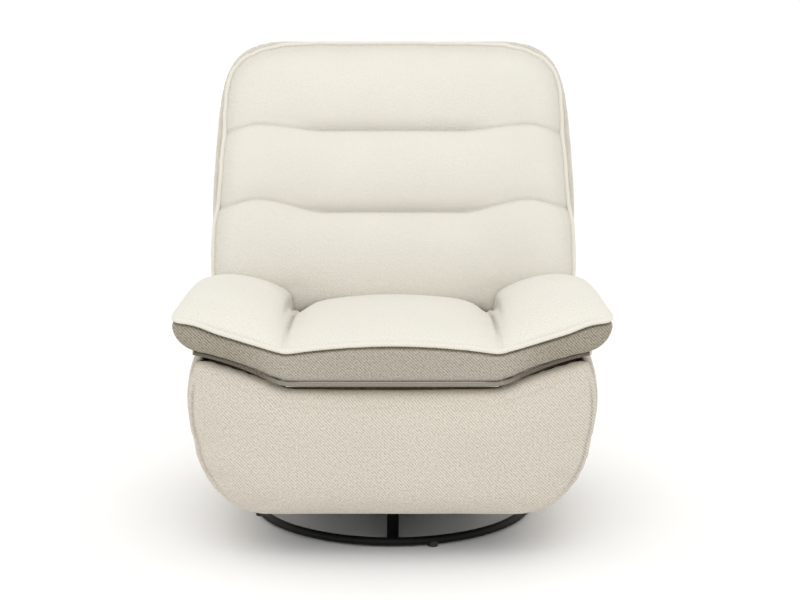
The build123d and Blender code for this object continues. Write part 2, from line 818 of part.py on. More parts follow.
# Footrest brackets: a plate on each end of the links with a foot screwed to the board
bracket_low = panel_point[1] - foot_drop
with BuildPart() as left_footrest_bracket:
    with BuildSketch(yz(layer(4))):
        for point in (panel_point, cell_high_point):
            with Locations(at(point)):
                Circle(lug_radius)
        with Locations((panel_rear + link_thickness / 2, (bracket_low + panel_point[1]) / 2)):
            Rectangle(link_thickness, panel_point[1] - bracket_low)
        make_hull()
        for point, radius in ((panel_point, pin_bore), (cell_high_point, pin_fit)):
            with Locations(at(point)):
                Circle(radius, mode=Mode.SUBTRACT)
    extrude(amount=link_thickness)
    with BuildSketch(xz(panel_rear + link_thickness)):
        with Locations((layer(4) + foot_width / 2, (bracket_low + panel_point[1]) / 2)):
            Rectangle(foot_width, panel_point[1] - bracket_low)
    extrude(amount=link_thickness)
right_footrest_bracket = mirrored(left_footrest_bracket.part)


# Shaft, bushes and pins
def make_pin(point, start, end, *heads):
    """A headed pin along X, drawn from layer to layer."""
    with BuildPart() as pin:
        with BuildSketch(yz(start)):
            with Locations(at(point)):
                Circle(pin_fit)
        extrude(amount=end - start)
        for head in heads:
            with BuildSketch(yz(head)):
                with Locations(at(point)):
                    Circle(pin_head / 2)
            extrude(amount=pin_head_thickness)
    return pin.part


with BuildPart() as drive_shaft:
    with BuildSketch(yz(-layer(1) - link_thickness)):
        with Locations(at(shaft_point)):
            Circle(shaft_diameter / 2)
    extrude(amount=2 * (layer(1) + link_thickness))

with BuildPart() as shaft_bushes:
    with BuildSketch(yz(plate_inner)):
        with Locations(at(shaft_point)):
            Circle(bush_diameter / 2)
            Circle(shaft_diameter / 2 + running_clearance, mode=Mode.SUBTRACT)
    extrude(amount=plate_thickness)
    with BuildSketch(yz(plate_inner - bush_flange_thickness)):
        with Locations(at(shaft_point)):
            Circle(bush_flange / 2)
            Circle(shaft_diameter / 2 + running_clearance, mode=Mode.SUBTRACT)
    extrude(amount=bush_flange_thickness)
    mirror(about=Plane.YZ)

head_gap = (link_gap - pin_head_thickness) / 2


def inner_head(number):
    """Where the inner head of a pin starts under the link of a layer."""
    return layer(number) - pin_head_thickness


def outer_head(number):
    """Where the outer head of a pin starts over the link of a layer."""
    return layer(number) + link_thickness + head_gap


with BuildPart() as guide_pins:
    add(make_pin(guide_point, plate_inner, outer_head(4), outer_head(4)))
    mirror(about=Plane.YZ)

with BuildPart() as rear_link_pins:
    add(make_pin(elbow_point, inner_head(1), outer_head(2), inner_head(1), outer_head(2)))
    add(make_pin(cell_low_point, inner_head(1), outer_head(3), inner_head(1), outer_head(3)))
    mirror(about=Plane.YZ)

with BuildPart() as front_link_pins:
    add(make_pin(panel_point, inner_head(2), outer_head(4), inner_head(2), outer_head(4)))
    add(make_pin(lug_point, inner_head(2), layer(4) + link_thickness, inner_head(2)))
    mirror(about=Plane.YZ)

with BuildPart() as footrest_pins:
    add(make_pin(cell_high_point, inner_head(3), outer_head(4), inner_head(3), outer_head(4)))
    mirror(about=Plane.YZ)

# Back frame
with BuildPart() as left_upright:
    with BuildSketch(back_plane):
        with Locations((upright_inner + upright_width / 2, (upright_low + upright_high) / 2)):
            Rectangle(upright_width, upright_high - upright_low)
    extrude(amount=-upright_depth)
right_upright = mirrored(left_upright.part)


def make_back_rail(height, half_length):
    """A cross rail of the back frame."""
    with BuildPart() as rail:
        with BuildSketch(back_plane):
            with Locations((0, height)):
                Rectangle(2 * half_length, cross_rail_height)
        extrude(amount=-upright_depth)
    return rail.part


low_back_rail = make_back_rail(low_rail, bracket_inner)
top_back_rail = make_back_rail(upright_high - cross_rail_height / 2, upright_inner)

with BuildPart() as back_webbing:
    with BuildSketch(back_plane):
        for number in range(webbing_count):
            with Locations((0, webbing_low + number * webbing_pitch)):
                Rectangle(2 * (upright_inner + upright_width), webbing_width)
    extrude(amount=webbing_thickness)


with BuildPart() as left_back_bracket:
    with BuildSketch(yz(bracket_inner)):
        with Locations((back_pivot_y, back_pivot_z)):
            Circle(bracket_lug)
        with BuildLine():
            Polyline(
                back_point(upright_low, 0.0),
                back_point(0.0, 0.0),
                back_point(0.0, upright_depth),
                back_point(upright_low, upright_depth),
                close=True,
            )
        make_face()
        make_hull()
        with BuildLine():
            Polyline(
                back_point(upright_low, 0.0),
                back_point(bracket_reach, 0.0),
                back_point(bracket_reach, upright_depth),
                back_point(upright_low, upright_depth),
                close=True,
            )
        make_face()
        with Locations((back_pivot_y, back_pivot_z)):
            Circle(back_pin / 2 + pin_clearance, mode=Mode.SUBTRACT)
    extrude(amount=bracket_thickness)
right_back_bracket = mirrored(left_back_bracket.part)

with BuildPart() as back_pins:
    with BuildSketch(yz(plate_inner - pin_head_thickness)):
        with Locations((back_pivot_y, back_pivot_z)):
            Circle(back_pin / 2)
    extrude(amount=pin_head_thickness + upright_inner + link_gap - plate_inner)
    for head in (plate_inner - pin_head_thickness, upright_inner + running_clearance):
        with BuildSketch(yz(head)):
            with Locations((back_pivot_y, back_pivot_z)):
                Circle(back_pin_head / 2)
        extrude(amount=pin_head_thickness)
    mirror(about=Plane.YZ)


# Outer back: a hollow shell, open at the front and below, that hides the frame

def back_front(height):
    """Where the back plane stands along Y at a height."""
    return back_plane_y + (height - back_pivot_z) * math.tan(lean)


def shell_section(level, half, front, rear):
    """One level of the shell: open-fronted, with round rear corners and a bowed rear face."""
    bow = shell_bow_share * (rear - front)
    radius = shell_corner_share * (rear - front - bow)
    side = rear - bow - radius
    corner = (half - radius, side)
    bend = polar_point(corner, radius, 45)
    with BuildSketch(Plane.XY.offset(level)) as section:
        with BuildLine():
            Line((-half, front), (half, front))
            Line((half, front), (half, side))
            ThreePointArc((half, side), bend, (corner[0], rear - bow))
            ThreePointArc((corner[0], rear - bow), (0, rear), (-corner[0], rear - bow))
            ThreePointArc((-corner[0], rear - bow), (-bend[0], bend[1]), (-half, side))
            Line((-half, side), (-half, front))
        make_face()
    return section.sketch


with BuildPart() as shell_hollow:
    for height, half, rear in shell_stations[:-1]:
        level = height - shell_wall
        add(shell_section(level, half - shell_wall, back_front(level) - shell_wall, rear - shell_wall))
    loft()

with BuildPart() as back_shell:
    for height, half, rear in shell_stations:
        add(shell_section(height, half, back_front(height) + soft_gap, rear))
    loft()
    add(shell_hollow.part, mode=Mode.SUBTRACT)

pieces = {
    "base_ring": base_ring.part,
    "base_glides": base_glides.part,
    "base_hub": base_hub.part,
    "swivel_lower": swivel_lower.part,
    "thrust_ring": thrust_ring.part,
    "king_bolt": king_bolt_pin.part,
    "swivel_upper": swivel_upper.part,
    "beam_front": beam_front,
    "beam_rear": beam_rear,
    "floor_board": floor_board.part,
    "left_plate": left_plate.part,
    "right_plate": right_plate,
    "left_seat_rail": left_seat_rail.part,
    "right_seat_rail": right_seat_rail,
    "front_seat_rail": front_seat_rail,
    "rear_seat_rail": rear_seat_rail,
    "seat_deck": seat_deck.part,
    "rail_bolts": rail_bolts.part,
    "flange_bolts": flange_bolts.part,
    "left_arm_board": left_arm_board.part,
    "right_arm_board": right_arm_board,
    "seat_cushion": seat_cushion.part,
    "left_arm_pad": left_arm_pad.part,
    "right_arm_pad": right_arm_pad,
    "left_tub_side": left_tub_side.part,
    "right_tub_side": right_tub_side,
    "tub_rear_wall": tub_rear_wall.part,
    "shaft_bushes": shaft_bushes.part,
    "guide_pins": guide_pins.part,
    "back_pins": back_pins.part,
    "drive_shaft": drive_shaft.part,
    "left_rear_link": left_rear_link,
    "right_rear_link": right_rear_link,
    "rear_link_pins": rear_link_pins.part,
    "left_front_link": left_front_link,
    "right_front_link": right_front_link,
    "front_link_pins": front_link_pins.part,
    "left_rear_guide": left_rear_guide,
    "right_rear_guide": right_rear_guide,
    "left_front_guide": left_front_guide,
    "right_front_guide": right_front_guide,
    "left_footrest_bracket": left_footrest_bracket.part,
    "right_footrest_bracket": right_footrest_bracket,
    "footrest_pins": footrest_pins.part,
    "footrest_board": footrest_board.part,
    "footrest_pad": footrest_pad.part,
    "left_upright": left_upright.part,
    "right_upright": right_upright,
    "low_back_rail": low_back_rail,
    "top_back_rail": top_back_rail,
    "back_webbing": back_webbing.part,
    "left_back_bracket": left_back_bracket.part,
    "right_back_bracket": right_back_bracket,
    "back_shell": back_shell.part,
    "back_cushion": back_cushion,
}
pieces.update(spokes)

os.makedirs("parts", exist_ok=True)
for name, piece in pieces.items():
    piece.label = name
    export_step(piece, f"parts/{name}.step")
print(len(pieces), "pieces written")
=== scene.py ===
# %% [markdown]
# A swivel recliner in cream twill, dressed over its working frame.
# The frame arrives as separate rigid parts that already have their real size and place.
# This lesson keeps the steel and the boards, and makes every upholstered part again as soft goods.

# %% Load the frame
import json
import math

import bmesh
import bpy
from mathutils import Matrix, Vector, noise
from mathutils.bvhtree import BVHTree
from mathutils.kdtree import KDTree


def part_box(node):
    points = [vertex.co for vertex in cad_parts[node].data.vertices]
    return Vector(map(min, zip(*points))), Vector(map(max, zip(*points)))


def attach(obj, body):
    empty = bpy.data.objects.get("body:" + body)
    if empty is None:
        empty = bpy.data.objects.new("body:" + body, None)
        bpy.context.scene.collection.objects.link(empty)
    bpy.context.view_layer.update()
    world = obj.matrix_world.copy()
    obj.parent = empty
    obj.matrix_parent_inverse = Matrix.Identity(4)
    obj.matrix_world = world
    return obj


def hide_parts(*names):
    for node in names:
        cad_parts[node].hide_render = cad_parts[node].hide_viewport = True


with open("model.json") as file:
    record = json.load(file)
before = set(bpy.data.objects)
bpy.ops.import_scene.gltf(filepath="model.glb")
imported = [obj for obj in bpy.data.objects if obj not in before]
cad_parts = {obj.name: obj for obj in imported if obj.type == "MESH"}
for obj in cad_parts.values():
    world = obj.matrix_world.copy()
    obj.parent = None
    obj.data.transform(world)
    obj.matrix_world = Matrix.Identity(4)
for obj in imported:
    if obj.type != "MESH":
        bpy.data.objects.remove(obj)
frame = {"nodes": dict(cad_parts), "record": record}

scene = bpy.context.scene
nodes = frame["nodes"]
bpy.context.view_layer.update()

# %% [markdown]
# The camera stands a good way off at a little over seat height and looks slightly down,
# as a catalogue picture does. A long lens keeps the arms and the back in proportion.

# %% Camera
PICTURE_WIDTH = 800
FOCAL_PIXELS = 1615
SENSOR = 36.0
CAMERA_PLACE = (0.0156, -3.600, 1.124)
CAMERA_PITCH = math.radians(10.16)

camera_data = bpy.data.cameras.new("camera")
camera_data.sensor_width = SENSOR
camera_data.lens = FOCAL_PIXELS / PICTURE_WIDTH * SENSOR
camera = bpy.data.objects.new("camera", camera_data)
camera.location = CAMERA_PLACE
camera.rotation_euler = (math.pi / 2 - CAMERA_PITCH, 0, 0)
scene.collection.objects.link(camera)
scene.camera = camera
print("camera lens", round(camera_data.lens, 1), "mm")

# %% [markdown]
# A material is a small graph of nodes, and so is a studio's sky. A few helpers keep the graphs short.

# %% Node helpers


def new_material(name):
    """An empty material, its graph and its shader."""
    material = bpy.data.materials.new(name)
    material.use_nodes = True
    tree = material.node_tree
    return material, tree, tree.nodes["Principled BSDF"]


def add_node(tree, kind, inputs=None, **settings):
    """One node of a kind, with its settings and the fixed values of its inputs."""
    node = tree.nodes.new(kind)
    for key, value in settings.items():
        setattr(node, key, value)
    for key, value in (inputs or {}).items():
        node.inputs[key].default_value = value
    return node


def wire(tree, source, target):
    """Join an output socket to an input socket."""
    tree.links.new(source, target)


def sum_of(tree, operation, first, second):
    """A math node on two values, each a socket or a number."""
    node = add_node(tree, "ShaderNodeMath", operation=operation)
    for socket, value in zip(node.inputs, (first, second)):
        if isinstance(value, (int, float)):
            socket.default_value = value
        else:
            wire(tree, value, socket)
    return node.outputs[0]


def total_of(tree, parts):
    """The sum of some sockets."""
    total = parts[0]
    for part in parts[1:]:
        total = sum_of(tree, "ADD", total, part)
    return total


def two_tone(tree, source, stops, low, high):
    """A ramp on a value between two colours."""
    ramp = add_node(tree, "ShaderNodeValToRGB")
    for element, place, tone in zip(ramp.color_ramp.elements, stops, (low, high)):
        element.position = place
        element.color = (*tone, 1)
    wire(tree, source, ramp.inputs[0])
    return ramp.outputs[0]


def multiplied(tree, first, second, share=None):
    """One colour times another, in full or by a share."""
    node = add_node(tree, "ShaderNodeMix", {"Factor": 1.0}, data_type="RGBA", blend_type="MULTIPLY")
    if share is not None:
        wire(tree, share, node.inputs["Factor"])
    wire(tree, first, node.inputs["A"])
    wire(tree, second, node.inputs["B"])
    return node.outputs["Result"]


print("node helpers ready")

# %% [markdown]
# The studio is a white floor under a bright sky. The sky is weaker in front of the chair than
# above and behind it, so fronts that lean back look pale and fronts that lean forward fall into
# shade. One large soft box high in front lifts the seat and the back.

# %% Studio sky
SKY_TONE = (1.0, 0.995, 0.985)
SKY_AHEAD, SKY_BEHIND = 0.95, 1.14  # brightness behind the camera and behind the chair
SKY_CHANGE = (-0.9, 0.25)

scene.view_settings.view_transform = "Standard"
world = bpy.data.worlds.new("studio_sky")
world.use_nodes = True
sky = world.node_tree
sky_way = add_node(sky, "ShaderNodeTexCoord")
sky_split = add_node(sky, "ShaderNodeSeparateXYZ")
sky_ends = dict(zip(("From Min", "From Max", "To Min", "To Max"), (*SKY_CHANGE, SKY_AHEAD, SKY_BEHIND)))
sky_range = add_node(sky, "ShaderNodeMapRange", sky_ends)
sky_light = sky.nodes["Background"]
wire(sky, sky_way.outputs["Generated"], sky_split.inputs[0])
wire(sky, sky_split.outputs["Y"], sky_range.inputs["Value"])
wire(sky, sky_range.outputs[0], sky_light.inputs["Strength"])
sky_light.inputs["Color"].default_value = (*SKY_TONE, 1)
scene.world = world
print("sky brightness", SKY_AHEAD, "to", SKY_BEHIND)

# %% Key light
KEY_PLACE = Vector((0.0, -3.0, 3.0))
KEY_TARGET = Vector((0.0, 0.0, 0.6))
KEY_SIZE, KEY_POWER = 2.6, 40.0

key_box = bpy.data.lights.new("key_light", "AREA")
key_box.shape = "SQUARE"
key_box.size = KEY_SIZE
key_box.energy = KEY_POWER
key_light = bpy.data.objects.new("key_light", key_box)
key_light.location = KEY_PLACE
key_light.rotation_euler = (KEY_TARGET - KEY_PLACE).to_track_quat("-Z", "Y").to_euler()
scene.collection.objects.link(key_light)
print("key light", KEY_POWER, "W over", KEY_SIZE, "m")

# %% Studio floor
FLOOR_REACH = 14.0
FLOOR_TONE, FLOOR_ROUGHNESS = (0.94, 0.94, 0.935), 0.85

floor_shape = bmesh.new()
bmesh.ops.create_grid(floor_shape, x_segments=1, y_segments=1, size=FLOOR_REACH)
floor_mesh = bpy.data.meshes.new("studio_floor")
floor_shape.to_mesh(floor_mesh)
floor_shape.free()
studio_floor = bpy.data.objects.new("studio_floor", floor_mesh)
scene.collection.objects.link(studio_floor)
floor_paint, _, floor_surface = new_material("floor_paint")
floor_surface.inputs["Base Color"].default_value = (*FLOOR_TONE, 1)
floor_surface.inputs["Roughness"].default_value = FLOOR_ROUGHNESS
floor_mesh.materials.append(floor_paint)
print("floor reaches", FLOOR_REACH, "m")

# %% [markdown]
# The cover is a heavy cream twill: slanting ribs a few millimetres apart, crossed by finer
# yarns and broken into short dashes by slubs, which are thick places in the yarn.
# The ribs and yarns are wave textures and the slubs are noise, all read on a flat plane.

# %% Twill weave
RIB_PITCH, RIB_SHARE = 0.0047, 0.34
YARN_PITCH, YARN_SHARE = 0.0031, 0.20
YARN_TURN = math.radians(62)
SLUB_SCALE, SLUB_SHARE = 230.0, 0.95
SLUB_FLOOR = 0.175
WAVE_TURNS = 10.0  # the wave texture counts this many radians for each unit


def wave_scale(pitch):
    """The scale of a diagonal wave texture whose ribs lie a pitch apart."""
    return 2 * math.pi / (WAVE_TURNS * pitch * math.sqrt(2))


def make_weave_group():
    """A node group that turns a place on a plane into the height of the weave."""
    group = bpy.data.node_groups.new("twill_weave", "ShaderNodeTree")
    group.interface.new_socket("Place", in_out="INPUT", socket_type="NodeSocketVector")
    group.interface.new_socket("Height", in_out="OUTPUT", socket_type="NodeSocketFloat")
    start = group.nodes.new("NodeGroupInput")
    end = group.nodes.new("NodeGroupOutput")
    rib_look = {"Scale": wave_scale(RIB_PITCH), "Distortion": 1.5, "Detail": 2.0, "Detail Scale": 0.9}
    ribs = add_node(group, "ShaderNodeTexWave", rib_look, bands_direction="DIAGONAL")
    turn = add_node(group, "ShaderNodeMapping", {"Rotation": (0, 0, YARN_TURN)})
    yarn_look = {"Scale": wave_scale(YARN_PITCH), "Distortion": 1.2, "Detail": 1.0}
    yarns = add_node(group, "ShaderNodeTexWave", yarn_look, bands_direction="DIAGONAL")
    slubs = add_node(group, "ShaderNodeTexNoise", {"Scale": SLUB_SCALE, "Detail": 3.0})
    for pattern in (ribs, turn, slubs):
        wire(group, start.outputs[0], pattern.inputs["Vector"])
    wire(group, turn.outputs[0], yarns.inputs["Vector"])
    lowered = sum_of(group, "SUBTRACT", slubs.outputs["Fac"], SLUB_FLOOR)
    parts = [
        sum_of(group, "MULTIPLY", ribs.outputs["Fac"], RIB_SHARE),
        sum_of(group, "MULTIPLY", yarns.outputs["Fac"], YARN_SHARE),
        sum_of(group, "MULTIPLY", lowered, SLUB_SHARE),
    ]
    wire(group, total_of(group, parts), end.inputs[0])
    return group


weave_group = make_weave_group()
print("weave ribs per decimetre", round(0.1 / RIB_PITCH))

# %% [markdown]
# A cushion has no flat plane, so the weave is laid on three times, from the side, from the
# front and from above, and mixed by the way the surface faces.

# %% Weave on a solid
PLANES = [(1, 2), (0, 2), (0, 1)]
FACING_POWER = 4.0


def laid_weave(tree, place):
    """The weave's height on a solid: three flat projections mixed by the way the surface faces."""
    split = add_node(tree, "ShaderNodeSeparateXYZ")
    facing = add_node(tree, "ShaderNodeSeparateXYZ")
    wire(tree, place.outputs["Object"], split.inputs[0])
    wire(tree, place.outputs["Normal"], facing.inputs[0])
    shares = []
    for turned in facing.outputs:
        shares.append(sum_of(tree, "POWER", sum_of(tree, "ABSOLUTE", turned, 0.0), FACING_POWER))
    whole = total_of(tree, shares)
    parts = []
    for share, (across, up) in zip(shares, PLANES):
        flat = add_node(tree, "ShaderNodeCombineXYZ")
        wire(tree, split.outputs[across], flat.inputs[0])
        wire(tree, split.outputs[up], flat.inputs[1])
        weave = add_node(tree, "ShaderNodeGroup", node_tree=weave_group)
        wire(tree, flat.outputs[0], weave.inputs[0])
        parts.append(sum_of(tree, "MULTIPLY", weave.outputs[0], sum_of(tree, "DIVIDE", share, whole)))
    return total_of(tree, parts)


print("weave planes", len(PLANES))

# %% [markdown]
# Five cloths share this weave: cushions, tub and panel, outer back, welts, and the band under the
# seat. An attribute named shade paints shade where the cloth is tucked away: it darkens the cloth
# and brings out its ribs, as grazing light would.

# %% Cover materials
WEAVE_STOPS = (0.22, 0.78)  # heights of the weave that are all hollow and all ridge
DRIFT_SCALE, DRIFT_TONE = 5.5, (0.955, 1.03)
# Painted shade: the tones that the cloth takes where the shade attribute is full.
PAINTED_SHADE_TONE = (0.30, 0.25, 0.18)  # how much of its tone the cloth keeps deep in a tuck
PAINTED_SHADE_STOPS, PAINTED_SHADE_HOLLOW = (0.34, 0.70), (0.34, 0.33, 0.31)
WHITE = (1, 1, 1)
WEAVE_BUMP = 0.5
CLOTH_SURFACE = {
    "Roughness": 0.92,
    "Specular IOR Level": 0.18,
    "Sheen Weight": 0.12,
    "Sheen Roughness": 0.45,
}


def make_twill(name, ridge, hollow, depth):
    """Twill: pale ridges, warmer hollows, a slow change of tone, a soft sheen and painted shade."""
    material, tree, shader = new_material(name)
    place = add_node(tree, "ShaderNodeTexCoord")
    height = laid_weave(tree, place)
    drift = add_node(tree, "ShaderNodeTexNoise", {"Scale": DRIFT_SCALE, "Detail": 2.0})
    wire(tree, place.outputs["Object"], drift.inputs["Vector"])
    slow = add_node(tree, "ShaderNodeMapRange", {"To Min": DRIFT_TONE[0], "To Max": DRIFT_TONE[1]})
    wire(tree, drift.outputs["Fac"], slow.inputs["Value"])
    cloth = multiplied(tree, two_tone(tree, height, WEAVE_STOPS, hollow, ridge), slow.outputs[0])
    # Painted shade: where the shade attribute is set, the cloth is darkened and its rib hollows deepened,
    # as in grazing light.
    tuck_shade = add_node(tree, "ShaderNodeAttribute", attribute_name="shade").outputs["Fac"]
    cloth = multiplied(tree, cloth, two_tone(tree, height, PAINTED_SHADE_STOPS, PAINTED_SHADE_HOLLOW, WHITE), tuck_shade)
    kept = add_node(tree, "ShaderNodeMix", {"A": (*WHITE, 1), "B": (*PAINTED_SHADE_TONE, 1)}, data_type="RGBA")
    wire(tree, tuck_shade, kept.inputs["Factor"])
    wire(tree, multiplied(tree, cloth, kept.outputs["Result"]), shader.inputs["Base Color"])
    bump = add_node(tree, "ShaderNodeBump", {"Strength": WEAVE_BUMP, "Distance": depth})
    wire(tree, height, bump.inputs["Height"])
    wire(tree, bump.outputs[0], shader.inputs["Normal"])
    for key, value in CLOTH_SURFACE.items():
        shader.inputs[key].default_value = value
    return material


cream_twill = make_twill("cream_twill", (0.745, 0.727, 0.664), (0.625, 0.594, 0.521), 0.0012)
# Painted shade: this cloth for the tub and panel has deeper, darker hollows than the cushions' cloth, so
# the panel's front comes out darker.
shaded_rib_twill = make_twill("shaded_rib_twill", (0.665, 0.618, 0.545), (0.395, 0.348, 0.285), 0.0018)
shell_twill = make_twill("shell_twill", (0.71, 0.68, 0.61), (0.47, 0.43, 0.365), 0.0018)
welt_twill = make_twill("welt_twill", (0.735, 0.712, 0.645), (0.66, 0.628, 0.553), 0.0009)
# Painted shade: the band's cloth is the cover's twill darkened, for the shade under the boxing strip.
shaded_band_twill = make_twill("shaded_band_twill", (0.28, 0.258, 0.22), (0.20, 0.183, 0.15), 0.0009)
print("cover materials", cream_twill.name, welt_twill.name, shaded_band_twill.name)

# %% [markdown]
# The rest of the chair has plain working finishes: black powder coat on the ring, zinc on the
# links, raw board and timber inside, black cambric underneath. Each one still has some life:
# orange peel in the paint, cloudy zinc, grain in the wood.

# %% Plain finishes
CLOUD_STOPS = (0.3, 0.7)
GLOSS_DRIFT = 0.08
PLAIN_BUMP = 0.35


def make_plain(name, dark, light, scale, rough, metal=0.0, depth=0.0002, stretch=(1, 1, 1), shine=0.5):
    """A finish whose tone and roughness drift with a noise that can be stretched into grain."""
    material, tree, shader = new_material(name)
    place = add_node(tree, "ShaderNodeTexCoord")
    stretched = add_node(tree, "ShaderNodeMapping", {"Scale": stretch})
    wire(tree, place.outputs["Object"], stretched.inputs["Vector"])
    cloud = add_node(tree, "ShaderNodeTexNoise", {"Scale": scale, "Detail": 5.0, "Roughness": 0.6})
    wire(tree, stretched.outputs[0], cloud.inputs["Vector"])
    cloudy = cloud.outputs["Fac"]
    wire(tree, two_tone(tree, cloudy, CLOUD_STOPS, dark, light), shader.inputs["Base Color"])
    gloss_ends = {"To Min": rough - GLOSS_DRIFT, "To Max": rough + GLOSS_DRIFT}
    gloss = add_node(tree, "ShaderNodeMapRange", gloss_ends)
    wire(tree, cloudy, gloss.inputs["Value"])
    wire(tree, gloss.outputs[0], shader.inputs["Roughness"])
    bump = add_node(tree, "ShaderNodeBump", {"Strength": PLAIN_BUMP, "Distance": depth})
    wire(tree, cloudy, bump.inputs["Height"])
    wire(tree, bump.outputs[0], shader.inputs["Normal"])
    shader.inputs["Metallic"].default_value = metal
    shader.inputs["Specular IOR Level"].default_value = shine
    return material


# Each finish: dark tone, light tone, scale of the noise, roughness, and what else it needs.
PLAIN_FINISHES = {
    "black_paint": ((0.002,) * 3, (0.006,) * 3, 700, 0.5, {"shine": 0.18}),
    "black_plastic": ((0.010,) * 3, (0.022,) * 3, 400, 0.6, {}),
    "nylon": ((0.66, 0.64, 0.58), (0.76, 0.74, 0.68), 300, 0.45, {}),
    "zinc_steel": ((0.46, 0.46, 0.45), (0.66, 0.66, 0.63), 60, 0.36, {"metal": 1.0}),
    "steel_tube": ((0.018,) * 3, (0.035,) * 3, 500, 0.5, {}),
    "plywood": (
        (0.36, 0.23, 0.11), (0.58, 0.42, 0.24), 9, 0.75, {"depth": 0.0006, "stretch": (12, 1, 6)},
    ),
    "hardwood": (
        (0.33, 0.20, 0.10), (0.52, 0.36, 0.20), 8, 0.7, {"depth": 0.0006, "stretch": (9, 9, 1)},
    ),
    "webbing": ((0.020, 0.018, 0.016), (0.060, 0.054, 0.048), 420, 0.9, {"depth": 0.0012}),
    "dust_cloth": ((0.006,) * 3, (0.020,) * 3, 900, 0.95, {"depth": 0.0008}),
}
finishes = {name: make_plain(name, *look, **more) for name, (*look, more) in PLAIN_FINISHES.items()}
print("plain finishes", len(finishes))

# %% Finishes on the frame
COVERED = {
    "floor_board": "dust_cloth",
    "footrest_board": "dust_cloth",
    "left_arm_board": "cream_twill",
    "right_arm_board": "cream_twill",
    "seat_deck": "cream_twill",
}

finishes.update(cream_twill=cream_twill, outer_cover=shaded_rib_twill)
for part in frame["record"]["subparts"]:
    covering = COVERED.get(part["node"], part["material_slot"])
    materials = nodes[part["node"]].data.materials
    materials.clear()
    materials.append(finishes[covering])

# %% [markdown]
# Soft shapes have no hard limits: most changes fade over a band, or on both sides of a line.

# %% Fades and steps


def eased(value, low, high):
    """A smooth step from 0 at low to 1 at high."""
    share = min(max((value - low) / (high - low), 0.0), 1.0)
    return share * share * (3 - 2 * share)


def eased_from(value, start, band):
    """A smooth step over a band measured from a start."""
    return eased(value, start + band[0], start + band[1])


def bell(distance, width):
    """1 on a line, fading to nothing about two widths away."""
    return math.exp(-((distance / width) ** 2))


def spread(first, last, steps):
    """Even places from first to last."""
    return [first + (last - first) * number / (steps - 1) for number in range(steps)]


print("fades ready")

# %% [markdown]
# Every upholstered part starts as a welded copy of its rigid part, wrapped in a fresh even skin
# by the voxel remesher. An even skin is what the cloth solver likes: long thin triangles from
# a CAD part would tear and crease.

# %% Soft copies
WELD = 0.00005


def smooth_faces(mesh):
    """Shade a mesh without facets."""
    for face in mesh.polygons:
        face.use_smooth = True


def new_piece(name, mesh, material):
    """A smooth object at the origin with one material."""
    mesh.materials.clear()
    mesh.materials.append(material)
    smooth_faces(mesh)
    piece = bpy.data.objects.new(name, mesh)
    scene.collection.objects.link(piece)
    return piece


def take_mesh(piece):
    """Make what the piece's modifiers show its own mesh."""
    shown = piece.evaluated_get(bpy.context.evaluated_depsgraph_get())
    mesh = bpy.data.meshes.new_from_object(shown)
    old = piece.data
    piece.modifiers.clear()
    piece.data = mesh
    mesh.name = piece.name
    bpy.data.meshes.remove(old)
    smooth_faces(mesh)


def soft_copy(name, sources, voxel, material, wadding=0.0):
    """One even skin round the welded copies of some rigid parts, with some wadding under it."""
    shape = bmesh.new()
    for source in sources:
        shape.from_mesh(nodes[source].data)
    bmesh.ops.remove_doubles(shape, verts=shape.verts, dist=WELD)
    shape.normal_update()
    for vert in shape.verts:
        vert.co += vert.normal * wadding
    mesh = bpy.data.meshes.new(name)
    shape.to_mesh(mesh)
    shape.free()
    piece = new_piece(name, mesh, material)
    skin = piece.modifiers.new("skin", "REMESH")
    skin.mode = "VOXEL"
    skin.voxel_size = voxel
    take_mesh(piece)
    return piece


print("weld distance", WELD)

# %% [markdown]
# A skin is reshaped point by point, by small functions that give a point its new place. Growing
# gives back what smoothing took, and a slow noise gives the unevenness of used filling.

# %% Reshaping a skin
SMOOTHING = 0.5  # the share of its way that a round of smoothing moves a point


def shape_of(piece):
    """A bmesh of the piece with fresh normals."""
    shape = bmesh.new()
    shape.from_mesh(piece.data)
    shape.normal_update()
    return shape


def put_back(shape, piece):
    """Write a bmesh into its piece."""
    shape.to_mesh(piece.data)
    shape.free()
    piece.data.update()


def relax(piece, rounds):
    """Smooth the skin's voxel steps away."""
    shape = shape_of(piece)
    for _ in range(rounds):
        bmesh.ops.smooth_vert(
            shape, verts=shape.verts, factor=SMOOTHING, use_axis_x=True, use_axis_y=True, use_axis_z=True
        )
    put_back(shape, piece)


def reshape(piece, new_place):
    """Move each point of a skin to the place that a function gives for it."""
    shape = shape_of(piece)
    for vert in shape.verts:
        vert.co = new_place(vert)
    put_back(shape, piece)


def grow(piece, depth):
    """Move the whole skin outwards by a depth."""
    reshape(piece, lambda vert: vert.co + vert.normal * depth)


def wear_in(piece, depth, size):
    """Slow unevenness of a depth, in patches of a size."""
    reshape(piece, lambda vert: vert.co + vert.normal * depth * noise.noise(vert.co / size))


print("smoothing share", SMOOTHING)

# %% [markdown]
# Filling is done by Blender's cloth solver: pressure pushes the skin out from inside while
# chosen points stay held, as the tacks and seams hold a real cover. Gravity is off.
# The travel of each point is capped, so a cushion keeps its place beside its neighbours.

# %% Filling
FILL_FRAMES = 20
FILL_PRESSURE = 4.0
FILL_QUALITY = 3
STILL = 1e-7


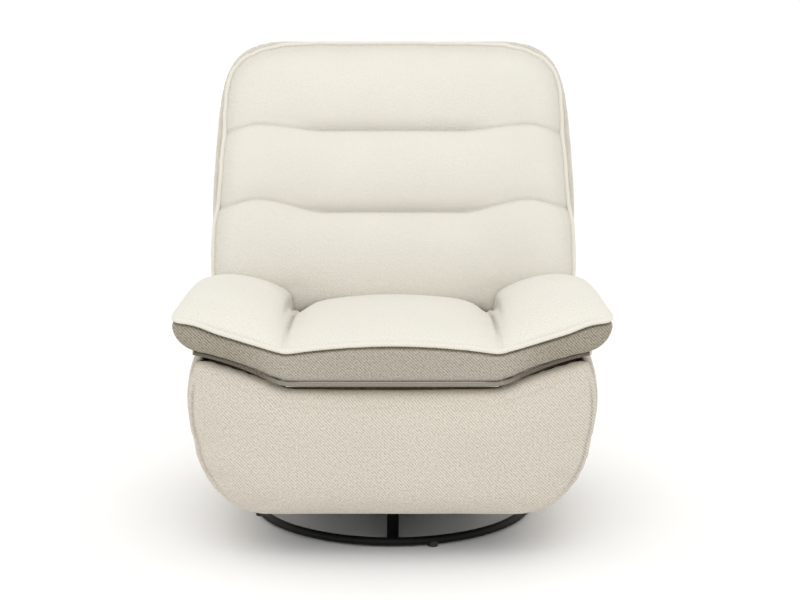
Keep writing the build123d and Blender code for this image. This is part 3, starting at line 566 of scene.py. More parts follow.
def swollen_places(piece, held):
    """Where cloth pressure takes each point, which is held by 0 to 1."""
    grip = piece.vertex_groups.new(name="held")
    for vert in piece.data.vertices:
        grip.add([vert.index], held(vert), "REPLACE")
    cloth = piece.modifiers.new("fill", "CLOTH")
    cloth.settings.use_pressure = True
    cloth.settings.uniform_pressure_force = FILL_PRESSURE
    cloth.settings.vertex_group_mass = grip.name
    cloth.settings.effector_weights.gravity = 0
    cloth.settings.quality = FILL_QUALITY
    cloth.point_cache.frame_start = 1
    cloth.point_cache.frame_end = FILL_FRAMES
    for step in range(1, FILL_FRAMES + 1):
        scene.frame_set(step)
    shown = piece.evaluated_get(bpy.context.evaluated_depsgraph_get())
    swollen = [vert.co.copy() for vert in shown.data.vertices]
    piece.modifiers.clear()
    piece.vertex_groups.clear()
    scene.frame_set(1)
    return swollen


def fill(piece, held, cap):
    """Swell a skin by cloth pressure, with no point going further than a cap."""
    travel = 0.0
    for vert, end in zip(piece.data.vertices, swollen_places(piece, held)):
        way = end - vert.co
        length = way.length
        if length > STILL:
            kept = cap * math.tanh(length / cap)
            vert.co = vert.co + way * (kept / length)
            travel = max(travel, kept)
    piece.data.update()
    print(piece.name, "swelled by up to", round(travel * 1000, 1), "mm")


def refine(piece):
    """One subdivision, so that seams have points to follow."""
    finer = piece.modifiers.new("finer", "SUBSURF")
    finer.levels = 1
    finer.render_levels = 1
    take_mesh(piece)


print("filling", FILL_FRAMES, "frames at pressure", FILL_PRESSURE)

# %% [markdown]
# Seams and welts follow lines: smooth curves guided by a few points and sampled closely.
# Search trees tell where a ray meets a skin, and which point of a line is nearest.

# %% Lines on the cover
LINE_STEP = 0.004
LINE_ORDER, LINE_FINENESS = 4, 24


def curve_of(name, kind, points):
    """A curve of one spline with some points."""
    curve = bpy.data.curves.new(name, "CURVE")
    curve.dimensions = "3D"
    spline = curve.splines.new(kind)
    spline.points.add(len(points) - 1)
    for target, point in zip(spline.points, points):
        target.co = (*point, 1.0)
    return curve, spline


def mesh_of(curve):
    """The mesh that a curve shows, in place of the curve."""
    holder = bpy.data.objects.new(curve.name, curve)
    scene.collection.objects.link(holder)
    shown = holder.evaluated_get(bpy.context.evaluated_depsgraph_get())
    mesh = bpy.data.meshes.new_from_object(shown)
    bpy.data.objects.remove(holder)
    bpy.data.curves.remove(curve)
    return mesh


def smooth_line(points):
    """Points a step apart on a smooth curve guided by some points."""
    curve, spline = curve_of("line", "NURBS", points)
    spline.order_u = LINE_ORDER
    spline.use_endpoint_u = True
    spline.resolution_u = LINE_FINENESS
    mesh = mesh_of(curve)
    path = [vert.co.copy() for vert in mesh.vertices]
    bpy.data.meshes.remove(mesh)
    even = [path[0]]
    left = LINE_STEP
    for first, second in zip(path, path[1:]):
        way = second - first
        while way.length >= left:
            first = first + way.normalized() * left
            even.append(first)
            way = second - first
            left = LINE_STEP
        left -= way.length
    return even


def mirrored_line(line):
    """The same line on the chair's other side."""
    return [Vector((-point.x, point.y, point.z)) for point in line]


def both_halves(half):
    """A line that starts in the middle, with its mirror image before it."""
    return mirrored_line(reversed(half[1:])) + half


def skin_of(piece):
    """A search tree over a surface."""
    shape = shape_of(piece)
    tree = BVHTree.FromBMesh(shape)
    shape.free()
    return tree


def met(tree, starts, direction):
    """The places where rays from some starts meet a skin."""
    hits = [tree.ray_cast(start, direction)[0] for start in starts]
    return [hit for hit in hits if hit]


def finder_of(points):
    """A search tree over some points."""
    finder = KDTree(len(points))
    for index, point in enumerate(points):
        finder.insert(point, index)
    finder.balance()
    return finder


print("line step", LINE_STEP)

# %% [markdown]
# A seam is a line where the cover is pulled in. It is pressed into the finished skin: each
# point near the line moves inwards, most on the line itself and less on either side.
# A corded welt is a round tube of the cover along a line that lies on the skin.

# %% Seams and welts
SEAM_CUTS = 2  # most times that faces along a seam are cut finer
CUT_ABOVE, CUT_REACH, PRESS_REACH = 0.7, 2, 3  # in widths of the seam
SEAM_FACING = 0.1
WELT_ROUNDNESS = 3


def middle_of(edge):
    """The place half way along an edge."""
    return (edge.verts[0].co + edge.verts[1].co) / 2


def press_seam(piece, line, width, depth, facing=None, end_depth=None):
    """Pull the skin in along a line, where it faces the given way, by a depth that can change."""
    end_depth = depth if end_depth is None else end_depth
    finder = finder_of(line)
    shape = shape_of(piece)
    for _ in range(SEAM_CUTS):
        near = [edge for edge in shape.edges if edge.calc_length() > width * CUT_ABOVE]
        near = [edge for edge in near if finder.find(middle_of(edge))[2] < CUT_REACH * width]
        bmesh.ops.subdivide_edges(shape, edges=near, cuts=1, use_grid_fill=True, smooth=0.0)
    shape.normal_update()
    for vert in shape.verts:
        _, index, gap = finder.find(vert.co)
        turned_away = facing is not None and vert.normal.dot(facing) < SEAM_FACING
        if gap > PRESS_REACH * width or turned_away:
            continue
        here = depth + (end_depth - depth) * index / len(line)
        vert.co -= vert.normal * here * bell(gap, width)
    put_back(shape, piece)


def welt(name, line, radius, material):
    """A round tube of the cover along a line."""
    curve, _ = curve_of(name + "_line", "POLY", line)
    curve.bevel_depth = radius
    curve.bevel_resolution = WELT_ROUNDNESS
    curve.use_fill_caps = True
    mesh = mesh_of(curve)
    mesh.name = name
    return new_piece(name, mesh, material)


def settle(line, tree, lift):
    """Lay a line on a surface, standing off by a lift along the surface's normal."""
    laid = []
    for point in line:
        place, normal, _, _ = tree.find_nearest(point)
        laid.append(place + normal * lift)
    return laid


def paint_shade(piece, tone):
    """Give each point the shade that the cloth's material reads."""
    layer = piece.data.attributes.new("shade", "FLOAT", "POINT")
    for vert, cell in zip(piece.data.vertices, layer.data):
        cell.value = tone(vert)


print("seam cuts", SEAM_CUTS)

# %% [markdown]
# The seat and its two arm pads are one winged pillow: a crowned seat between two pads that
# rise to the arm tips. The three rigid parts share one skin, so the valleys between them are
# folds in the cloth and not gaps.

# %% Winged pillow form
PILLOW_PARTS = ["seat_cushion", "left_arm_pad", "right_arm_pad"]
UP = Vector((0, 0, 1))
AHEAD = Vector((0, -1, 0))
INWARDS = Vector((-1, 0, 0))  # from the sitter's left towards the middle
SHOULDER_PLACE, SHOULDER_WIDTH = 0.418, 0.026
SHOULDER_SWELL = 0.005
SHOULDER_FRONT = (0.02, 0.09)
SHOULDER_REAR = (0.0, 0.12)
UPPER_SIDE = 0.2
TIP_DRAW, TIP_REACH = 0.003, 0.02
END_DROOP, END_LENGTH = 0.022, 0.015  # how far the cover hangs down behind the arm boards
END_SIDE, END_TOP = (0.375, 0.395), (0.455, 0.490)

seat_low, seat_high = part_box("seat_cushion")
arm_low, arm_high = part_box("left_arm_pad")
board_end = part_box("left_arm_board")[1].y
VALLEY = (seat_high.x + arm_low.x) / 2


def shouldered(vert):
    """A point with the arm pads filled out, their tips slim and their rear ends low."""
    place = vert.co.copy()
    side = abs(place.x)
    along = eased_from(place.y, seat_low.y, SHOULDER_FRONT) * (1 - eased(place.y, *SHOULDER_REAR))
    if vert.normal.z > UPPER_SIDE:
        place += vert.normal * SHOULDER_SWELL * along * bell(side - SHOULDER_PLACE, SHOULDER_WIDTH)
    place.x -= math.copysign(TIP_DRAW * eased(side, arm_high.x - TIP_REACH, arm_high.x), place.x)
    behind = eased(place.y, board_end, board_end + END_LENGTH) * eased(side, *END_SIDE)
    place.z -= END_DROOP * behind * (1 - eased(place.z, *END_TOP))
    return place


print("valley at", round(VALLEY, 3))

# %% [markdown]
# While it fills, the pillow is held underneath and along its edges and valleys. The valleys are
# pressed in before, deeper towards the rear, and sharpened to a sewn fold afterwards.

# %% Winged pillow
PILLOW_VOXEL = 0.0100
PILLOW_GROWTH = 0.001
PILLOW_CAP = 0.024
UNDER_SIDE = -0.3
VALLEY_HOLD, VALLEY_BAND = 0.95, (0.005, 0.026)
EDGE_HOLD = 0.8
FRONT_BAND, TIP_BAND, REAR_BAND = (0.006, 0.035), (-0.03, -0.008), (-0.06, -0.01)  # from each edge
FOLD_START, FOLD_END, FOLD_STEPS = 0.02, -0.012, 20
FOLD_OUT = 0.003
VALLEY_PRESS = {"width": 0.020, "depth": 0.002, "end_depth": 0.034}
FOLD_PRESS = {"width": 0.0055, "depth": 0.0050, "end_depth": 0.0100}
RAY_START = 2.0  # how far off rays start that are cast down or back


def pillow_hold(vert):
    """How firmly a point of the pillow is held."""
    side = abs(vert.co.x)
    under = 1.0 if vert.normal.z < UNDER_SIDE else 0.0
    valley = VALLEY_HOLD * (1.0 - eased(abs(side - VALLEY), *VALLEY_BAND))
    rear = eased_from(vert.co.y, seat_high.y, REAR_BAND)
    front = EDGE_HOLD * (1.0 - eased_from(vert.co.y, seat_low.y, FRONT_BAND))
    tip = EDGE_HOLD * eased_from(side, arm_high.x, TIP_BAND)
    return max(under, valley, rear, front, tip)


def top_point(tree, x, y):
    """The highest point of a skin over a place on the floor."""
    return tree.ray_cast(Vector((x, y, RAY_START)), -UP)[0]


def fold_line(piece, side):
    """The sewn valley on one side, on the pillow's upper side, from the front to the rear."""
    skin = skin_of(piece)
    places = spread(seat_low.y + FOLD_START, arm_high.y + FOLD_END, FOLD_STEPS)
    starts = [Vector((side * (VALLEY + FOLD_OUT), y, RAY_START)) for y in places]
    return smooth_line(met(skin, starts, -UP))


winged_pillow = soft_copy("winged_pillow", PILLOW_PARTS, PILLOW_VOXEL, cream_twill)
relax(winged_pillow, rounds=1)
grow(winged_pillow, PILLOW_GROWTH)
reshape(winged_pillow, shouldered)
for side in (-1, 1):
    press_seam(winged_pillow, fold_line(winged_pillow, side), facing=UP, **VALLEY_PRESS)
fill(winged_pillow, pillow_hold, PILLOW_CAP)
wear_in(winged_pillow, depth=0.0012, size=0.11)
refine(winged_pillow)
fold_points = []
for side in (-1, 1):
    press_seam(winged_pillow, fold_line(winged_pillow, side), facing=UP, **FOLD_PRESS)
    fold_points += fold_line(winged_pillow, side)
print("winged pillow faces", len(winged_pillow.data.polygons))

# %% [markdown]
# One corded welt follows the pillow's front edge and turns back round each arm tip. The edge
# is found on the rigid parts: rays cast down near the front face give the front edge, and
# rays cast in from the side give the tip.

# %% Pillow edge
FRONT_INSET = 0.0008
FRONT_SEARCH, FRONT_RAYS = 0.030, 60  # the front edge is looked for over this depth
TIP_BELOW, SIDE_RAYS = 0.06, 40
FAR_OFF = 1.0  # how far off rays start that are cast in from the side
EDGE_STEPS, TIP_STEPS = 9, 12
SEAT_INSET, ARM_INSET, TIP_INSET, REAR_INSET = 0.001, 0.012, 0.004, 0.03


def side_point(tree, y, low, high):
    """The outermost point of a skin at a place along the chair, between two heights."""
    starts = [Vector((FAR_OFF, y, z)) for z in spread(low, high, SIDE_RAYS)]
    return max(met(tree, starts, INWARDS), key=lambda hit: hit.x)


def front_point(tree, x):
    """The front edge of a skin's upper side: the first ray down that meets it."""
    places = spread(seat_low.y, seat_low.y + FRONT_SEARCH, FRONT_RAYS)
    return met(tree, [Vector((x, y, RAY_START)) for y in places], -UP)[0]


def arm_tip(y):
    """The arm pad's outermost point at a place along the chair."""
    return side_point(arm_skin, y, seat_high.z - TIP_BELOW, arm_high.z)


seat_skin = skin_of(nodes["seat_cushion"])
arm_skin = skin_of(nodes["left_arm_pad"])
front_tip = arm_tip(arm_low.y + FRONT_INSET)
seat_places = spread(0.0, seat_high.x - SEAT_INSET, EDGE_STEPS)
arm_places = spread(arm_low.x + ARM_INSET, front_tip.x - TIP_INSET, EDGE_STEPS)
tip_places = spread(arm_low.y + ARM_INSET, seat_high.y - REAR_INSET, TIP_STEPS)
pillow_edge = [front_point(seat_skin, x) for x in seat_places]
pillow_edge += [front_point(arm_skin, x) for x in arm_places]
pillow_edge += [arm_tip(y) for y in tip_places]
pillow_line = smooth_line(both_halves(pillow_edge))
print("pillow edge points", len(pillow_line))

# %% [markdown]
# The welt is laid on the filled pillow. Just below it the boxing strip tucks in, which shades
# the line under the cord, darkened further by painted shade, and two short upright seams join the
# strip at the valleys.

# %% Pillow welt
WELT_RADIUS = 0.0050
WELT_AHEAD = 0.0030  # how far the welt stands out from the edge it is sewn to
TIP_SINK = 0.006  # how far the welt sinks into the arm tips
TUCK_DROP, TUCK_WIDTH, TUCK_DEPTH = 0.0085, 0.0042, 0.0075
UPRIGHT_RISE = spread(0.004, 0.054, 14)
UPRIGHT_PRESS = {"width": 0.0038, "depth": 0.0024}

pillow_laid = settle(pillow_line, skin_of(winged_pillow), WELT_AHEAD)
for point in pillow_laid:
    sink = TIP_SINK * eased_from(abs(point.x), arm_high.x, TIP_BAND)
    point.x -= math.copysign(sink, point.x)
pillow_welt = welt("pillow_welt", pillow_laid, WELT_RADIUS, welt_twill)
tuck_line = [point - UP * TUCK_DROP for point in pillow_line]
press_seam(winged_pillow, tuck_line, TUCK_WIDTH, TUCK_DEPTH)
for side in (-1, 1):
    corner = Vector((side * VALLEY, seat_low.y, seat_low.z))
    upright = [corner + UP * rise for rise in UPRIGHT_RISE]
    press_seam(winged_pillow, upright, facing=AHEAD, **UPRIGHT_PRESS)
print("pillow welt points", len(pillow_laid))

# %% [markdown]
# The boxing strip lies in the shade of the welt: darkest in the tuck and under the arm pads, and
# paler along the sides. This shade and that of the folds is painted on the points.

# %% Pillow shade
BOXING_SHADE = 0.55
STRIP_BELOW = (-0.002, 0.006)
STRIP_FACING, STRIP_GAP = (0.2, 0.5), (0.014, 0.022)
STRIP_REAR = (0.02, 0.12)
SIDE_SHADE, SIDE_BAND = 0.40, (0.012, 0.16)
ARM_SHADE, ARM_BAND = 0.30, (0.0, 0.12)
TUCK_FADE, TUCK_BAND, TUCK_REACH = 0.85, (0.03, 0.35), 2
FOLD_SHADE, FOLD_WIDTH, FOLD_BAND = 0.50, 0.0050, (0.02, 0.25)

tuck_finder = finder_of(tuck_line)
fold_finder = finder_of(fold_points)


def pillow_shade(vert):
    """The deepest of the shades of tuck, boxing strip and fold."""
    place = vert.co
    point, _, gap = tuck_finder.find(place)
    below = point.z - place.z
    tuck_shade = bell(below, TUCK_WIDTH) if gap < TUCK_REACH * TUCK_DEPTH else 0.0
    tuck_shade *= 1 - TUCK_FADE * eased_from(place.y, seat_low.y, TUCK_BAND)
    strip = 1 - (1 - SIDE_SHADE) * eased_from(place.y, seat_low.y, SIDE_BAND)
    strip *= eased(below, *STRIP_BELOW)
    strip *= 1 - eased(vert.normal.z, *STRIP_FACING) * eased(gap, *STRIP_GAP)
    strip *= 1 - eased(place.y, *STRIP_REAR)
    strip *= 1 + ARM_SHADE * eased_from(abs(place.x), VALLEY, ARM_BAND)
    fold = FOLD_SHADE * bell(fold_finder.find(place)[2], FOLD_WIDTH)
    fold *= eased_from(place.y, seat_low.y, FOLD_BAND)
    return max(tuck_shade, BOXING_SHADE * strip, fold)


paint_shade(winged_pillow, pillow_shade)
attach(winged_pillow, "chair")
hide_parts(*PILLOW_PARTS)
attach(pillow_welt, "chair")
print("pillow points", len(winged_pillow.data.vertices))

# %% [markdown]
# The back cushion is one tall pad with two sewn channels. In the middle a channel is deep, and
# towards each side it rises in a gentle wave and fades to a plain seam line.
# The work is done in the back's own measures: across, up along the lean, and out from its plane.

# %% Places on the back
BACK_LEAN = math.radians(11.3)
BACK_FOOT = Vector((0, 0.244, 0.400))
BACK_UP = Vector((0, math.sin(BACK_LEAN), math.cos(BACK_LEAN)))
BACK_OUT = Vector((0, -math.cos(BACK_LEAN), math.sin(BACK_LEAN)))
CHANNELS = (0.241, 0.436)
CHANNEL_MIDDLE = 0.215  # half width of the deep stretch
CHANNEL_RISE = CHANNEL_MIDDLE * 0.72
CHANNEL_CREST = 0.325  # where the seam's wave is highest
CHANNEL_LIFT = (0.032, 0.017)
CHANNEL_END = (0.012, -0.006)

back_low, back_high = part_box("back_cushion")


def on_back(co):
    """A point as its place across, up along the lean and out from the back's plane."""
    way = co - BACK_FOOT
    return co.x, way.dot(BACK_UP), way.dot(BACK_OUT)


def off_back(across, height, out):
    """The point at a place on the back."""
    return BACK_FOOT + Vector((across, 0, 0)) + BACK_UP * height + BACK_OUT * out


def seam_lift(across, number):
    """How far a channel's seam has risen at a distance from the middle."""
    side = abs(across)
    lift = CHANNEL_LIFT[number]
    if side < CHANNEL_CREST:
        return lift * eased(side, CHANNEL_RISE, CHANNEL_CREST)
    return lift + (CHANNEL_END[number] - lift) * eased(side, CHANNEL_CREST, back_high.x)


print("back cushion is", round(back_high.x - back_low.x, 3), "m wide")

# %% [markdown]
# The rigid cushion has straight channels. Its skin is warped in three steps before it is filled.

# %% Back cushion form
CUSHION_LOW = 0.034
CUSHION_HIGH = 0.646
MIDDLE_RAISE, MIDDLE_FULL = 0.020, 0.20  # how far the rolls go up, in full from this height
TOP_RAISE, TOP_FROM, TOP_INSET = 0.008, 0.43, 0.02
HIP_SWELL = 0.019  # fullness of the sides just above the arms
HIP_FOOT, HIP_TOP, HIP_INSIDE = (0.02, 0.06), (0.06, 0.30), 0.25
HEEL_DROP, HEEL_HEIGHT = 0.022, 0.06
HEEL_SIDE = (0.232, 0.256)
CHANNEL_REACH = 0.085


def raised(vert, hip_swell):
    """A point with the rolls and the top carried up and the sides above the arms filled."""
    across, height, out = on_back(vert.co)
    rise = MIDDLE_RAISE * eased(height, CUSHION_LOW, MIDDLE_FULL)
    rise += (TOP_RAISE - MIDDLE_RAISE) * eased(height, TOP_FROM, CUSHION_HIGH - TOP_INSET)
    hips = hip_swell * eased(height, *HIP_FOOT) * (1 - eased(height, *HIP_TOP))
    across += math.copysign(hips * eased(abs(across), HIP_INSIDE, back_high.x), across)
    return off_back(across, height + rise, out)


def heeled(vert):
    """A point with the cushion's lower edge hung behind the seat, between the hinges."""
    across, height, out = on_back(vert.co)
    low = 1 - eased(height, CUSHION_LOW, CUSHION_LOW + HEEL_HEIGHT)
    height -= HEEL_DROP * low * (1 - eased(abs(across), *HEEL_SIDE))
    return off_back(across, height, out)


def waved(vert):
    """A point with the straight channels carried up into their wave."""
    across, height, out = on_back(vert.co)
    lifted = height
    for number, channel in enumerate(CHANNELS):
        near = 1.0 - eased(abs(height - channel), 0.0, CHANNEL_REACH)
        lifted += seam_lift(across, number) * near
    return off_back(across, lifted, out)


print("rolls go up by", MIDDLE_RAISE * 1000, "mm")

# %% Back cushion
BACK_VOXEL = 0.0105
BACK_CAP = 0.024
BACK_GROWTH = 0.002
BEHIND_BAND = (0.02, 0.05)
SEWN_BAND, SEWN_EASE = (0.006, 0.016), 0.35
RIM_HOLD, RIM_BAND = 0.8, (-0.035, -0.012)


def back_hold(vert):
    """The back cushion is held behind, round its edge and, in the middle, along the channels."""
    across, height, out = on_back(vert.co)
    behind = 1.0 - eased(out, *BEHIND_BAND)
    middle = 1.0 - SEWN_EASE * eased(abs(across), CHANNEL_MIDDLE, CHANNEL_CREST)
    sewn = 0.0
    for number, channel in enumerate(CHANNELS):
        gap = abs(height - channel - seam_lift(across, number))
        sewn = max(sewn, middle * (1.0 - eased(gap, *SEWN_BAND)))
    rim = RIM_HOLD * eased_from(abs(across), back_high.x, RIM_BAND)
    return max(behind, sewn, rim)


back_pillow = soft_copy("back_pillow", ["back_cushion"], BACK_VOXEL, cream_twill)
relax(back_pillow, rounds=2)
reshape(back_pillow, lambda vert: raised(vert, HIP_SWELL))
reshape(back_pillow, heeled)
reshape(back_pillow, waved)
grow(back_pillow, BACK_GROWTH)
fill(back_pillow, back_hold, BACK_CAP)
wear_in(back_pillow, depth=0.0012, size=0.12)
refine(back_pillow)
print("back pillow faces", len(back_pillow.data.polygons))

# %% [markdown]
# The channel seams are pressed into the filled cushion, where rays from a guide in front meet it.

# %% Back seams
CHANNEL_STEPS = 41
GUIDE_OUT, GUIDE_INSET = 0.2, 0.006
CHANNEL_PRESS = {"width": 0.0050, "depth": 0.0045}

back_skin = skin_of(back_pillow)
half_seam = back_high.x - GUIDE_INSET
for number, channel in enumerate(CHANNELS):
    places = spread(-half_seam, half_seam, CHANNEL_STEPS)
    guide = [off_back(x, channel + seam_lift(x, number), GUIDE_OUT) for x in places]
    seam = smooth_line(met(back_skin, guide, -BACK_OUT))
    press_seam(back_pillow, seam, facing=BACK_OUT, **CHANNEL_PRESS)
print("back seams", len(CHANNELS))

# %% [markdown]
# A welt runs up both sides of the cushion and over its top, along its front corner. From the front
# backwards, the first ray that meets the cushion near its full reach has found the corner.

# %% Back welt
BACK_WELT_RADIUS = 0.0048
BACK_WELT_LIFT = 0.0018
CORNER_REACH = 0.010  # how near to the full width counts as the corner
SIDE_STEPS, TOP_STEPS = 22, 9
TOP_GAP = 0.02
SCAN = spread(0.14, 0.02, 60)  # places from the back's front to its rear


def first_corner(starts, direction, measure):
    """The first hit, from the front backwards, that lies near the furthest hit of all."""
    hits = met(back_skin, starts, direction)
    furthest = max(measure(hit) for hit in hits)
    return next(hit for hit in hits if measure(hit) > furthest - CORNER_REACH)


back_edge = []
for height in spread(CUSHION_LOW, CUSHION_HIGH + TOP_RAISE - TOP_GAP, SIDE_STEPS):
    starts = [off_back(FAR_OFF, height, out) for out in SCAN]
    back_edge.append(first_corner(starts, INWARDS, lambda hit: hit.x))
for across in spread(back_edge[-1].x - TOP_GAP, 0.0, TOP_STEPS):
    starts = [off_back(across, FAR_OFF, out) for out in SCAN]
    back_edge.append(first_corner(starts, -BACK_UP, lambda hit: on_back(hit)[1]))
back_line = smooth_line(back_edge + mirrored_line(reversed(back_edge[:-1])))
back_laid = settle(back_line, back_skin, BACK_WELT_LIFT)
back_welt = welt("back_welt", back_laid, BACK_WELT_RADIUS, welt_twill)
print("back welt points", len(back_laid))

# %% Back shade
# Painted shade on the back cushion: darker under each roll, in the channel seams and near the welt.
EDGE_SHADE, EDGE_WIDTH = 0.13, 0.030
ROLL_SHADE, ROLL_WIDTH = 0.20, 0.020
SEAM_SHADE, SEAM_WIDTH, SEAM_FLOOR = 0.34, 0.0028, 0.5
MIDDLE_END = CHANNEL_MIDDLE * 1.2
FRONT_OUT = (0.03, 0.06)

edge_finder = finder_of(back_laid)


def back_shade(vert):
    """Painted shade: the cloth is a little darker under each roll, in the seams and where it turns to the
    welt.
    """
    across, height, out = on_back(vert.co)
    shade = EDGE_SHADE * bell(edge_finder.find(vert.co)[2], EDGE_WIDTH)
    middle = 1 - eased(abs(across), CHANNEL_RISE, MIDDLE_END)
    for number, channel in enumerate(CHANNELS):
        above = height - channel - seam_lift(across, number)
        roll = ROLL_SHADE * middle * bell(above, ROLL_WIDTH) if above > 0 else 0.0
        line = (SEAM_FLOOR + (1 - SEAM_FLOOR) * middle) * SEAM_SHADE * bell(above, SEAM_WIDTH)
        shade = max(shade, roll, line)
    return shade * eased(out, *FRONT_OUT)


paint_shade(back_pillow, back_shade)
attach(back_pillow, "back")
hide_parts("back_cushion")
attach(back_welt, "back")
print("back points", len(back_pillow.data.vertices))

# %% [markdown]
# The outer back is a padded shell: board covered with thin wadding and the same cloth.
# A fresh skin with its voxel steps smoothed away gives it the soft edges of a covered board.

# %% Outer back
SHELL_VOXEL = 0.0065
SHELL_WADDING = 0.0028
SHELL_HIPS = 0.005

outer_back = soft_copy("outer_back", ["back_shell"], SHELL_VOXEL, shell_twill, SHELL_WADDING)
relax(outer_back, rounds=3)
reshape(outer_back, lambda vert: raised(vert, SHELL_HIPS))
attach(outer_back, "back")
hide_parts("back_shell")
print("outer back faces", len(outer_back.data.polygons))

# %% [markdown]
# The cushion is sewn to the outer back with a cord in the groove between them. The groove is
# where the narrower of the two ends, seen from the side and, along the top, from above.

# %% Joint cord
JOINT_RADIUS = 0.0065
JOINT_OUT = 0.0045  # the cord's distance in front of the back's plane
ON_CUSHION, ON_SHELL = 0.012, -0.006
JOINT_PROUD = 0.001
JOINT_HEIGHTS, JOINT_PLACES = spread(0.05, 0.60, 18), spread(0.34, 0.0, 9)

cushion_skin = skin_of(back_pillow)
shell_skin = skin_of(outer_back)


def joint_reach(start_at, direction, measure):
    """How far out the groove lies: the lesser of the cushion's reach and the shell's."""
    on_cushion = cushion_skin.ray_cast(start_at(ON_CUSHION), direction)[0]
    on_shell = shell_skin.ray_cast(start_at(ON_SHELL), direction)[0]
    return min(measure(on_cushion), measure(on_shell)) + JOINT_PROUD


joint_edge = []
for height in JOINT_HEIGHTS:
    reach = joint_reach(lambda out: off_back(FAR_OFF, height, out), INWARDS, lambda hit: hit.x)
    joint_edge.append(off_back(reach, height, JOINT_OUT))
for across in JOINT_PLACES:
    reach = joint_reach(lambda out: off_back(across, FAR_OFF, out), -BACK_UP, lambda hit: on_back(hit)[1])
    joint_edge.append(off_back(across, reach, JOINT_OUT))
joint_line = smooth_line(joint_edge + mirrored_line(reversed(joint_edge[:-1])))
joint_cord = welt("joint_cord", joint_line, JOINT_RADIUS, shell_twill)
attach(joint_cord, "back")
print("joint cord points", len(joint_line))

# %% [markdown]
# The tub is covered the same way. Its two sides and its rear are one upholstered wall on the
# real chair, so the three rigid parts are welded into one skin. The cloth is joined at the two
# rear corners, where an upright seam is pressed in.

# %% Tub cover
TUB_PARTS = ["left_tub_side", "right_tub_side", "tub_rear_wall"]
TUB_VOXEL = 0.0066
RIM_LIFT = 0.014  # how far the rim comes up to meet the ends of the arm pads
RIM_FRONT, RIM_REAR = (0.06, 0.13), (0.185, 0.215)
RIM_SIDE, RIM_HEIGHT = (0.400, 0.410), (0.37, 0.425)
CORNER_FROM = 0.90  # the corner seams are looked for on a slant from out here
CORNER_FOOT, CORNER_SEAM_TOP, CORNER_STEPS = 0.03, 0.375, 14
CORNER_PRESS = {"width": 0.0045, "depth": 0.0030}


def rimmed(vert):
    """A point with the tub's rim lifted under the rear ends of the arm pads."""
    place = vert.co.copy()
    along = eased(place.y, *RIM_FRONT) * (1 - eased(place.y, *RIM_REAR))
    outside = eased(abs(place.x), *RIM_SIDE)
    place.z += RIM_LIFT * along * outside * eased(place.z, *RIM_HEIGHT)
    return place


tub_cover = soft_copy("tub_cover", TUB_PARTS, TUB_VOXEL, shaded_rib_twill)
relax(tub_cover, rounds=6)
reshape(tub_cover, rimmed)
tub_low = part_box("tub_rear_wall")[0]
tub_skin = skin_of(tub_cover)
corner_heights = spread(tub_low.z + CORNER_FOOT, CORNER_SEAM_TOP, CORNER_STEPS)
for side in (-1, 1):
    slant = Vector((-side, -1, 0)).normalized()
    starts = [Vector((side * CORNER_FROM, CORNER_FROM, z)) for z in corner_heights]
    press_seam(tub_cover, smooth_line(met(tub_skin, starts, slant)), **CORNER_PRESS)
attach(tub_cover, "chair")
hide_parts("left_tub_side", "right_tub_side", "tub_rear_wall")
print("tub cover faces", len(tub_cover.data.polygons))

# %% [markdown]
# The front panel is the leg rest, folded down. It is a flat pad with a top-stitched seam a
# little inside its edge, so it is filled less than the seat, and the seams are pressed in last.

# %% Leg rest pad
PANEL_VOXEL = 0.0095
PANEL_CAP = 0.008
PANEL_GROWTH = 0.002
PANEL_DROP, PANEL_SETTLE = 0.009, 0.1  # the filling settles into the lower edge
PANEL_REAR = (-0.02, -0.004)
PANEL_RIM_HOLD, PANEL_RIM = 0.6, (-0.03, -0.01)

panel_low, panel_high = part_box("footrest_pad")


def panel_hold(vert):
    """The panel's pad is held at its back and lightly at its rim."""
    behind = eased_from(vert.co.y, panel_high.y, PANEL_REAR)
    rim = PANEL_RIM_HOLD * eased_from(abs(vert.co.x), panel_high.x, PANEL_RIM)
    return max(behind, rim)


def settled(vert):
    """A point with the filling sunk into the panel's lower edge."""
    place = vert.co.copy()
    place.z -= PANEL_DROP * (1 - eased(place.z, panel_low.z, panel_low.z + PANEL_SETTLE))
    return place


panel_pillow = soft_copy("panel_pillow", ["footrest_pad"], PANEL_VOXEL, shaded_rib_twill)
relax(panel_pillow, rounds=2)
grow(panel_pillow, PANEL_GROWTH)
reshape(panel_pillow, settled)
fill(panel_pillow, panel_hold, PANEL_CAP)
wear_in(panel_pillow, depth=0.0010, size=0.12)
refine(panel_pillow)
print("panel faces", len(panel_pillow.data.polygons))

# %% Panel seams
TOP_SEAM_DROP, TOP_SEAM_END = 0.024, 0.04
SIDE_SEAM_INSET = 0.008
SIDE_SEAM_END = 0.03
TOP_SEAM_STEPS, SIDE_SEAM_STEPS = 14, 16
TOP_SEAM_PRESS = {"width": 0.0040, "depth": 0.0022}
SIDE_SEAM_PRESS = {"width": 0.0036, "depth": 0.0024}
SLICE = 0.0001

panel_skin = skin_of(panel_pillow)
panel_middle = (panel_low.y + panel_high.y) / 2


def panel_face(x, z):
    """The point of the panel's front face at a place across and a height."""
    return panel_skin.ray_cast(Vector((x, -RAY_START, z)), -AHEAD)[0]


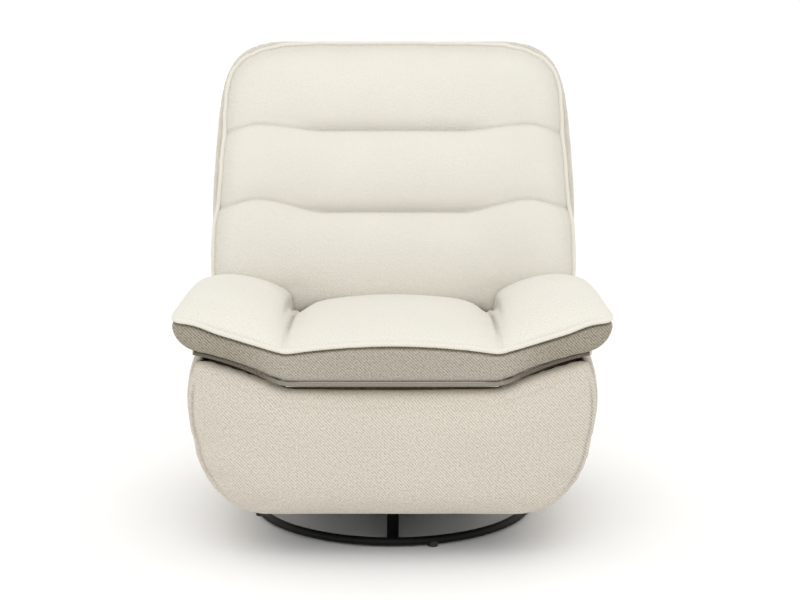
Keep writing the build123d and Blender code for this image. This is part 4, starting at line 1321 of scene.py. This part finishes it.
top_seam = []
for x in spread(0.0, panel_high.x - TOP_SEAM_END, TOP_SEAM_STEPS):
    top_seam.append(panel_face(x, top_point(panel_skin, x, panel_middle).z - TOP_SEAM_DROP))
press_seam(panel_pillow, smooth_line(both_halves(top_seam)), facing=AHEAD, **TOP_SEAM_PRESS)
side_seam = []
for z in spread(panel_high.z - SIDE_SEAM_END, panel_low.z + SIDE_SEAM_END, SIDE_SEAM_STEPS):
    rim_x = side_point(panel_skin, panel_middle, z, z + SLICE).x
    side_seam.append(panel_face(rim_x - SIDE_SEAM_INSET, z))
side_line = smooth_line([point for point in side_seam if point])
side_lines = [side_line, mirrored_line(side_line)]
for line in side_lines:
    press_seam(panel_pillow, line, facing=AHEAD, **SIDE_SEAM_PRESS)
print("panel side seam points", len(side_line))

# %% Panel shade
# Painted shade along the panel's side seams.
STITCH_SHADE, STITCH_WIDTH = 0.32, 0.0038
STITCH_FOOT, STITCH_TOP = (0.03, 0.09), (-0.08, -0.03)

stitch_finder = finder_of(side_lines[0] + side_lines[1])


def panel_shade(vert):
    """Painted shade: the cloth is darker in the side seams, which fade out at both ends."""
    fade = eased_from(vert.co.z, panel_low.z, STITCH_FOOT)
    fade *= 1 - eased_from(vert.co.z, panel_high.z, STITCH_TOP)
    return fade * STITCH_SHADE * bell(stitch_finder.find(vert.co)[2], STITCH_WIDTH)


paint_shade(panel_pillow, panel_shade)
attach(panel_pillow, "footrest")
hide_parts("footrest_pad")
print("panel points", len(panel_pillow.data.vertices))

# %% [markdown]
# Under the boxing strip the covered edges of the seat deck and arm boards show as a thin band.
# A cord along the boards' front edges stands for their folded cover. Its cloth is the cover's twill
# darkened as painted shade, with more painted shade under the arm pads.

# %% Deck band
BAND_RADIUS = 0.0046
BAND_INSET = 0.001
BAND_SHADE, BAND_DARK = 0.6, (0.0, 0.06)
DECK_END, DECK_STEPS = 0.016, 5
BOARD_START, BOARD_END, BOARD_STEPS = 0.004, 0.002, 6

deck_low, deck_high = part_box("seat_deck")
board_low, board_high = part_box("left_arm_board")
band_ahead = min(deck_low.y, board_low.y) + BAND_INSET
band_middle = (deck_low.z + deck_high.z) / 2
board_half = (deck_high.z - deck_low.z) / 2
board_skin = skin_of(nodes["left_arm_board"])
deck_places = spread(0.0, deck_high.x - DECK_END, DECK_STEPS)
band_points = [Vector((x, band_ahead, band_middle)) for x in deck_places]
for x in spread(board_low.x + BOARD_START, board_high.x - BOARD_END, BOARD_STEPS):
    point = top_point(board_skin, x, board_low.y + BAND_INSET) - UP * board_half
    point.y = band_ahead
    band_points.append(point)
band_line = smooth_line(both_halves(band_points))
deck_band = welt("deck_band", band_line, BAND_RADIUS, shaded_band_twill)
# Painted shade: the band is darker under the arm pads.
paint_shade(deck_band, lambda vert: BAND_SHADE * eased_from(abs(vert.co.x), VALLEY, BAND_DARK))
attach(deck_band, "chair")
print("deck band points", len(band_line))

# %% [markdown]
# The last step brings the view layer up to date.

# %% Finish
bpy.context.view_layer.update()
